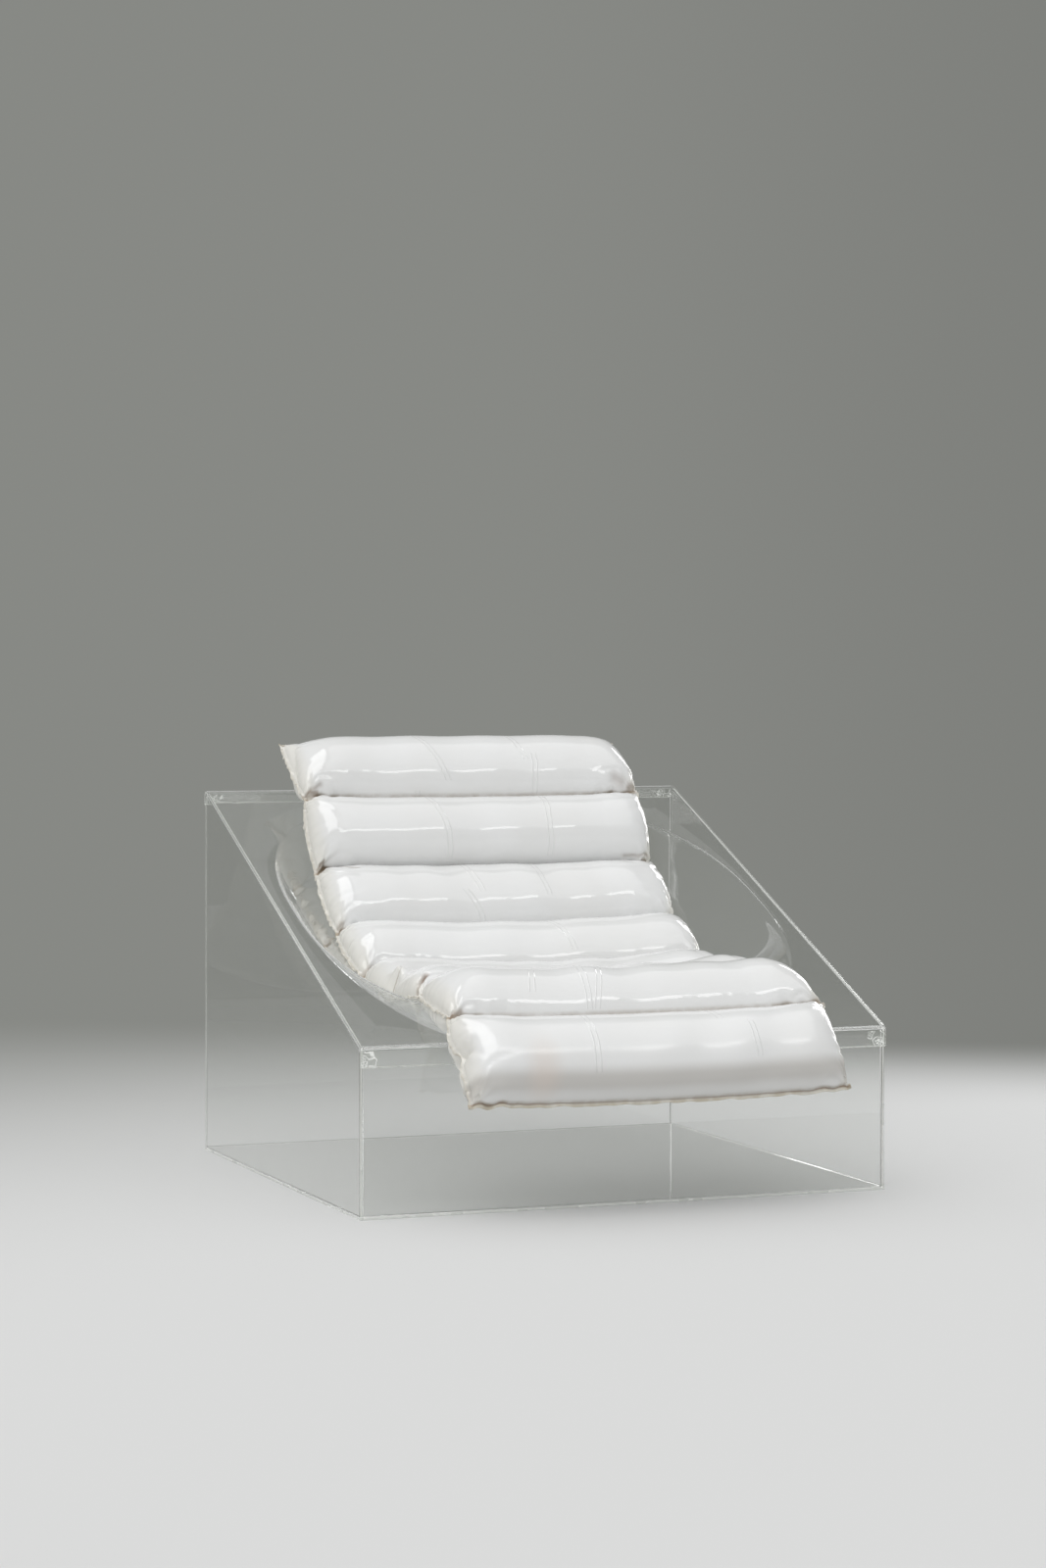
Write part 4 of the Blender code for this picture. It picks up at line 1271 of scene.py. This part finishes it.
def wall_shade(nodes, direction):
    """Strength of the backdrop along a direction from the camera: a little less towards the right."""
    turn = nodes.add("ShaderNodeVectorMath", operation="DOT_PRODUCT")
    nodes.feed(turn.inputs[0], direction)
    turn.inputs[1].default_value = RIGHT_OF_VIEW
    return nodes.ramp(turn.outputs["Value"], -0.02, 0.17, 1.0, 0.87)


def add_lamp(name, place, aim, power, width=0.0, height=0.0):
    """A lamp at a place, turned towards its aim: a rectangle, or a sun where it has no width."""
    data = bpy.data.lights.new(name, "AREA" if width else "SUN")
    data.energy = power
    if width:
        data.shape = "RECTANGLE"
        data.size = width
        data.size_y = height
    lamp = bpy.data.objects.new(name, data)
    lamp.location = place
    direction = np.array(aim) - np.array(place)
    lamp.rotation_euler = (math.atan2(math.hypot(*direction[:2]), -direction[2]), 0,
                           math.atan2(direction[1], direction[0]) - math.pi / 2)
    bpy.context.scene.collection.objects.link(lamp)
    return lamp


class CHAIR_OT_stage(bpy.types.Operator):
    """Set the camera, the pale floor, the grey backdrop and the soft lights"""

    bl_idname = "chair.stage"
    bl_label = "Studio"

    def execute(self, context):
        light = context.scene.chair_light
        camera_data = bpy.data.cameras.new("camera")
        camera_data.sensor_fit = "VERTICAL"
        camera_data.sensor_height = FILM_HEIGHT
        camera_data.lens = light.lens
        camera_data.shift_y = CAMERA_SHIFT
        camera = bpy.data.objects.new("camera", camera_data)
        camera.location = CAMERA_PLACE
        camera.rotation_euler = (math.radians(90), 0, math.radians(-CAMERA_TURN))
        context.scene.collection.objects.link(camera)
        context.scene.camera = camera
        context.scene.view_settings.view_transform = "Standard"
        self.make_world(context, light)
        self.make_floor(light)
        covers = bpy.data.collections.new("vinyl covers")
        sheet = bpy.data.collections.new("blown sheet")
        receivers = {"left_shine": covers, "top_shine": covers, "rim_shine": covers, "lip_shine": sheet}
        for name, place, power, spread in (
            ("front_key", (-2.2, -2.8, 3.8), 1.0, 70),
            ("back_key", (-1.2, 1.6, 4.2), 0.55, 80),
        ):
            key = add_lamp(name, place, (0.0, 0.0, 0.3), power)
            key.data.angle = math.radians(spread)
            key.visible_glossy = False
        for name, place, aim, power, width, height in (
            ("left_shine", (-1.7, -0.46, 2.99), (-1.7, 0.94, 0.8), 120.0, 2.6, 4.6),
            ("top_shine", (1.1, -0.46, 2.99), (1.1, 0.94, 0.8), 32.0, 2.4, 4.6),
            ("rim_shine", (0.35, -2.45, 1.70), (0.35, -1.05, -0.49), 7.0, 1.6, 0.34),
            ("lip_shine", (0.9, -2.1, 2.3), (0.2, -0.42, 0.25), 45.0, 2.8, 1.5),
            ("right_shine", (2.9, 1.9, 1.5), (0.0, 0.0, 0.3), 32.0, 1.0, 2.2),
        ):
            lamp = add_lamp(name, place, aim, power, width, height)
            lamp.visible_diffuse = False
            if name in receivers:
                lamp.light_linking.receiver_collection = receivers[name]
        fill = add_lamp("under_fill", (0.03, -0.02, 0.2), (0.03, -0.019, 0.0), 0.22, 0.55, 0.45)
        fill.visible_camera = False
        fill.visible_glossy = False
        fill.visible_transmission = False
        return {"FINISHED"}

    def make_world(self, context, light):
        """Soft white light from all round, and the grey backdrop where it is seen."""
        world = bpy.data.worlds.new("studio")
        context.scene.world = world
        world.use_nodes = True
        nodes = Nodes(world.node_tree)
        world.node_tree.nodes.clear()
        seen = seen_directly(nodes)
        soft = nodes.add("ShaderNodeBackground", {"Color": (1.0, 1.0, 1.0, 1.0), "Strength": light.ambient})
        direction = nodes.add("ShaderNodeTexCoord").outputs["Generated"]
        drop = nodes.add("ShaderNodeBackground", {"Color": (*light.wall_colour, 1.0)})
        nodes.feed(drop.inputs["Strength"], wall_shade(nodes, direction))
        mixed = nodes.add("ShaderNodeMixShader")
        nodes.feed(mixed.inputs[0], seen)
        nodes.feed(mixed.inputs[1], soft.outputs[0])
        nodes.feed(mixed.inputs[2], drop.outputs[0])
        output = nodes.add("ShaderNodeOutputWorld")
        nodes.feed(output.inputs["Surface"], mixed.outputs[0])

    def make_floor(self, light):
        """A wide pale floor that fades into the backdrop far from its middle."""
        radius = np.array(FLOOR_RINGS)
        angle = np.linspace(0, 2 * math.pi, FLOOR_SIDES + 1)[:-1]
        x = radius[:, None] * np.cos(angle)
        y = radius[:, None] * np.sin(angle)
        points = np.stack([x, y, np.full_like(x, FLOOR_LEVEL)], -1).reshape(-1, 3)
        index = np.arange(x.size).reshape(x.shape)
        index = np.hstack([index, index[:, :1]])
        obj = new_mesh("floor", points, grid_quads(index), [np.arange(len(angle))])
        material, nodes, shader, output = new_material("floor")
        material.node_tree.nodes.remove(shader)
        place = nodes.add("ShaderNodeVectorMath", operation="SUBTRACT")
        nodes.feed(place.inputs[0], nodes.place())
        place.inputs[1].default_value = FLOOR_MIDDLE
        away = nodes.add("ShaderNodeVectorMath", operation="LENGTH")
        nodes.feed(away.inputs[0], place.outputs[0])
        across = nodes.add("ShaderNodeSeparateXYZ", {"Vector": nodes.place()}).outputs["X"]
        near_edge = nodes.ramp(across, -0.7, 1.4, 1.1, 2.5)
        far_edge = nodes.ramp(across, -0.7, 1.4, 4.7, 3.7)
        far = nodes.ramp(away.outputs["Value"], near_edge, far_edge)
        seen = seen_directly(nodes)
        near = nodes.add("ShaderNodeBsdfDiffuse", {"Color": (*light.floor_colour, 1.0)})
        sight = nodes.add("ShaderNodeVectorMath", operation="SUBTRACT")
        nodes.feed(sight.inputs[0], nodes.place())
        sight.inputs[1].default_value = CAMERA_PLACE
        direction = nodes.add("ShaderNodeVectorMath", {"Vector": sight.outputs[0]}, operation="NORMALIZE")
        glow = nodes.add("ShaderNodeEmission", {"Color": (*light.wall_colour, 1.0)})
        nodes.feed(glow.inputs["Strength"], wall_shade(nodes, direction.outputs[0]))
        mixed = nodes.add("ShaderNodeMixShader")
        nodes.feed(mixed.inputs[0], nodes.math("MULTIPLY", far, seen))
        nodes.feed(mixed.inputs[1], near.outputs[0])
        nodes.feed(mixed.inputs[2], glow.outputs[0])
        nodes.feed(output.inputs["Surface"], mixed.outputs[0])
        obj.data.materials.append(material)


class CHAIR_PT_panel(bpy.types.Panel):
    """Lists the chair's pieces and their sizes"""

    bl_idname = "CHAIR_PT_panel"
    bl_label = "Lounge Chair"
    bl_space_type = "VIEW_3D"
    bl_region_type = "UI"
    bl_category = "Lounge Chair"

    def draw(self, context):
        for operator in operators:
            self.layout.operator(operator.bl_idname)
        for name in settings:
            group = getattr(context.scene, name)
            column = self.layout.box().column()
            for key in group.bl_rna.properties.keys():
                if key not in ("name", "rna_type"):
                    column.prop(group, key)


operators = (CHAIR_OT_stage, CHAIR_OT_box, CHAIR_OT_seat, CHAIR_OT_cement, CHAIR_OT_cushion)
settings = {
    "chair_box": BoxSettings,
    "chair_seat": SeatSettings,
    "chair_cushion": CushionSettings,
    "chair_light": LightSettings,
}
classes = (*settings.values(), *operators, CHAIR_PT_panel)


def register():
    """Adds the classes, and one group of settings of each kind to the scene."""
    for cls in classes:
        bpy.utils.register_class(cls)
    for name, cls in settings.items():
        setattr(bpy.types.Scene, name, bpy.props.PointerProperty(type=cls))


def unregister():
    """Takes away what register adds."""
    for name in settings:
        delattr(bpy.types.Scene, name)
    for cls in reversed(classes):
        bpy.utils.unregister_class(cls)


def main():
    """Builds everything, in the operators' order."""
    register()
    for operator in operators:
        group, name = operator.bl_idname.split(".")
        getattr(getattr(bpy.ops, group), name)()


if __name__ == "__main__":
    main()
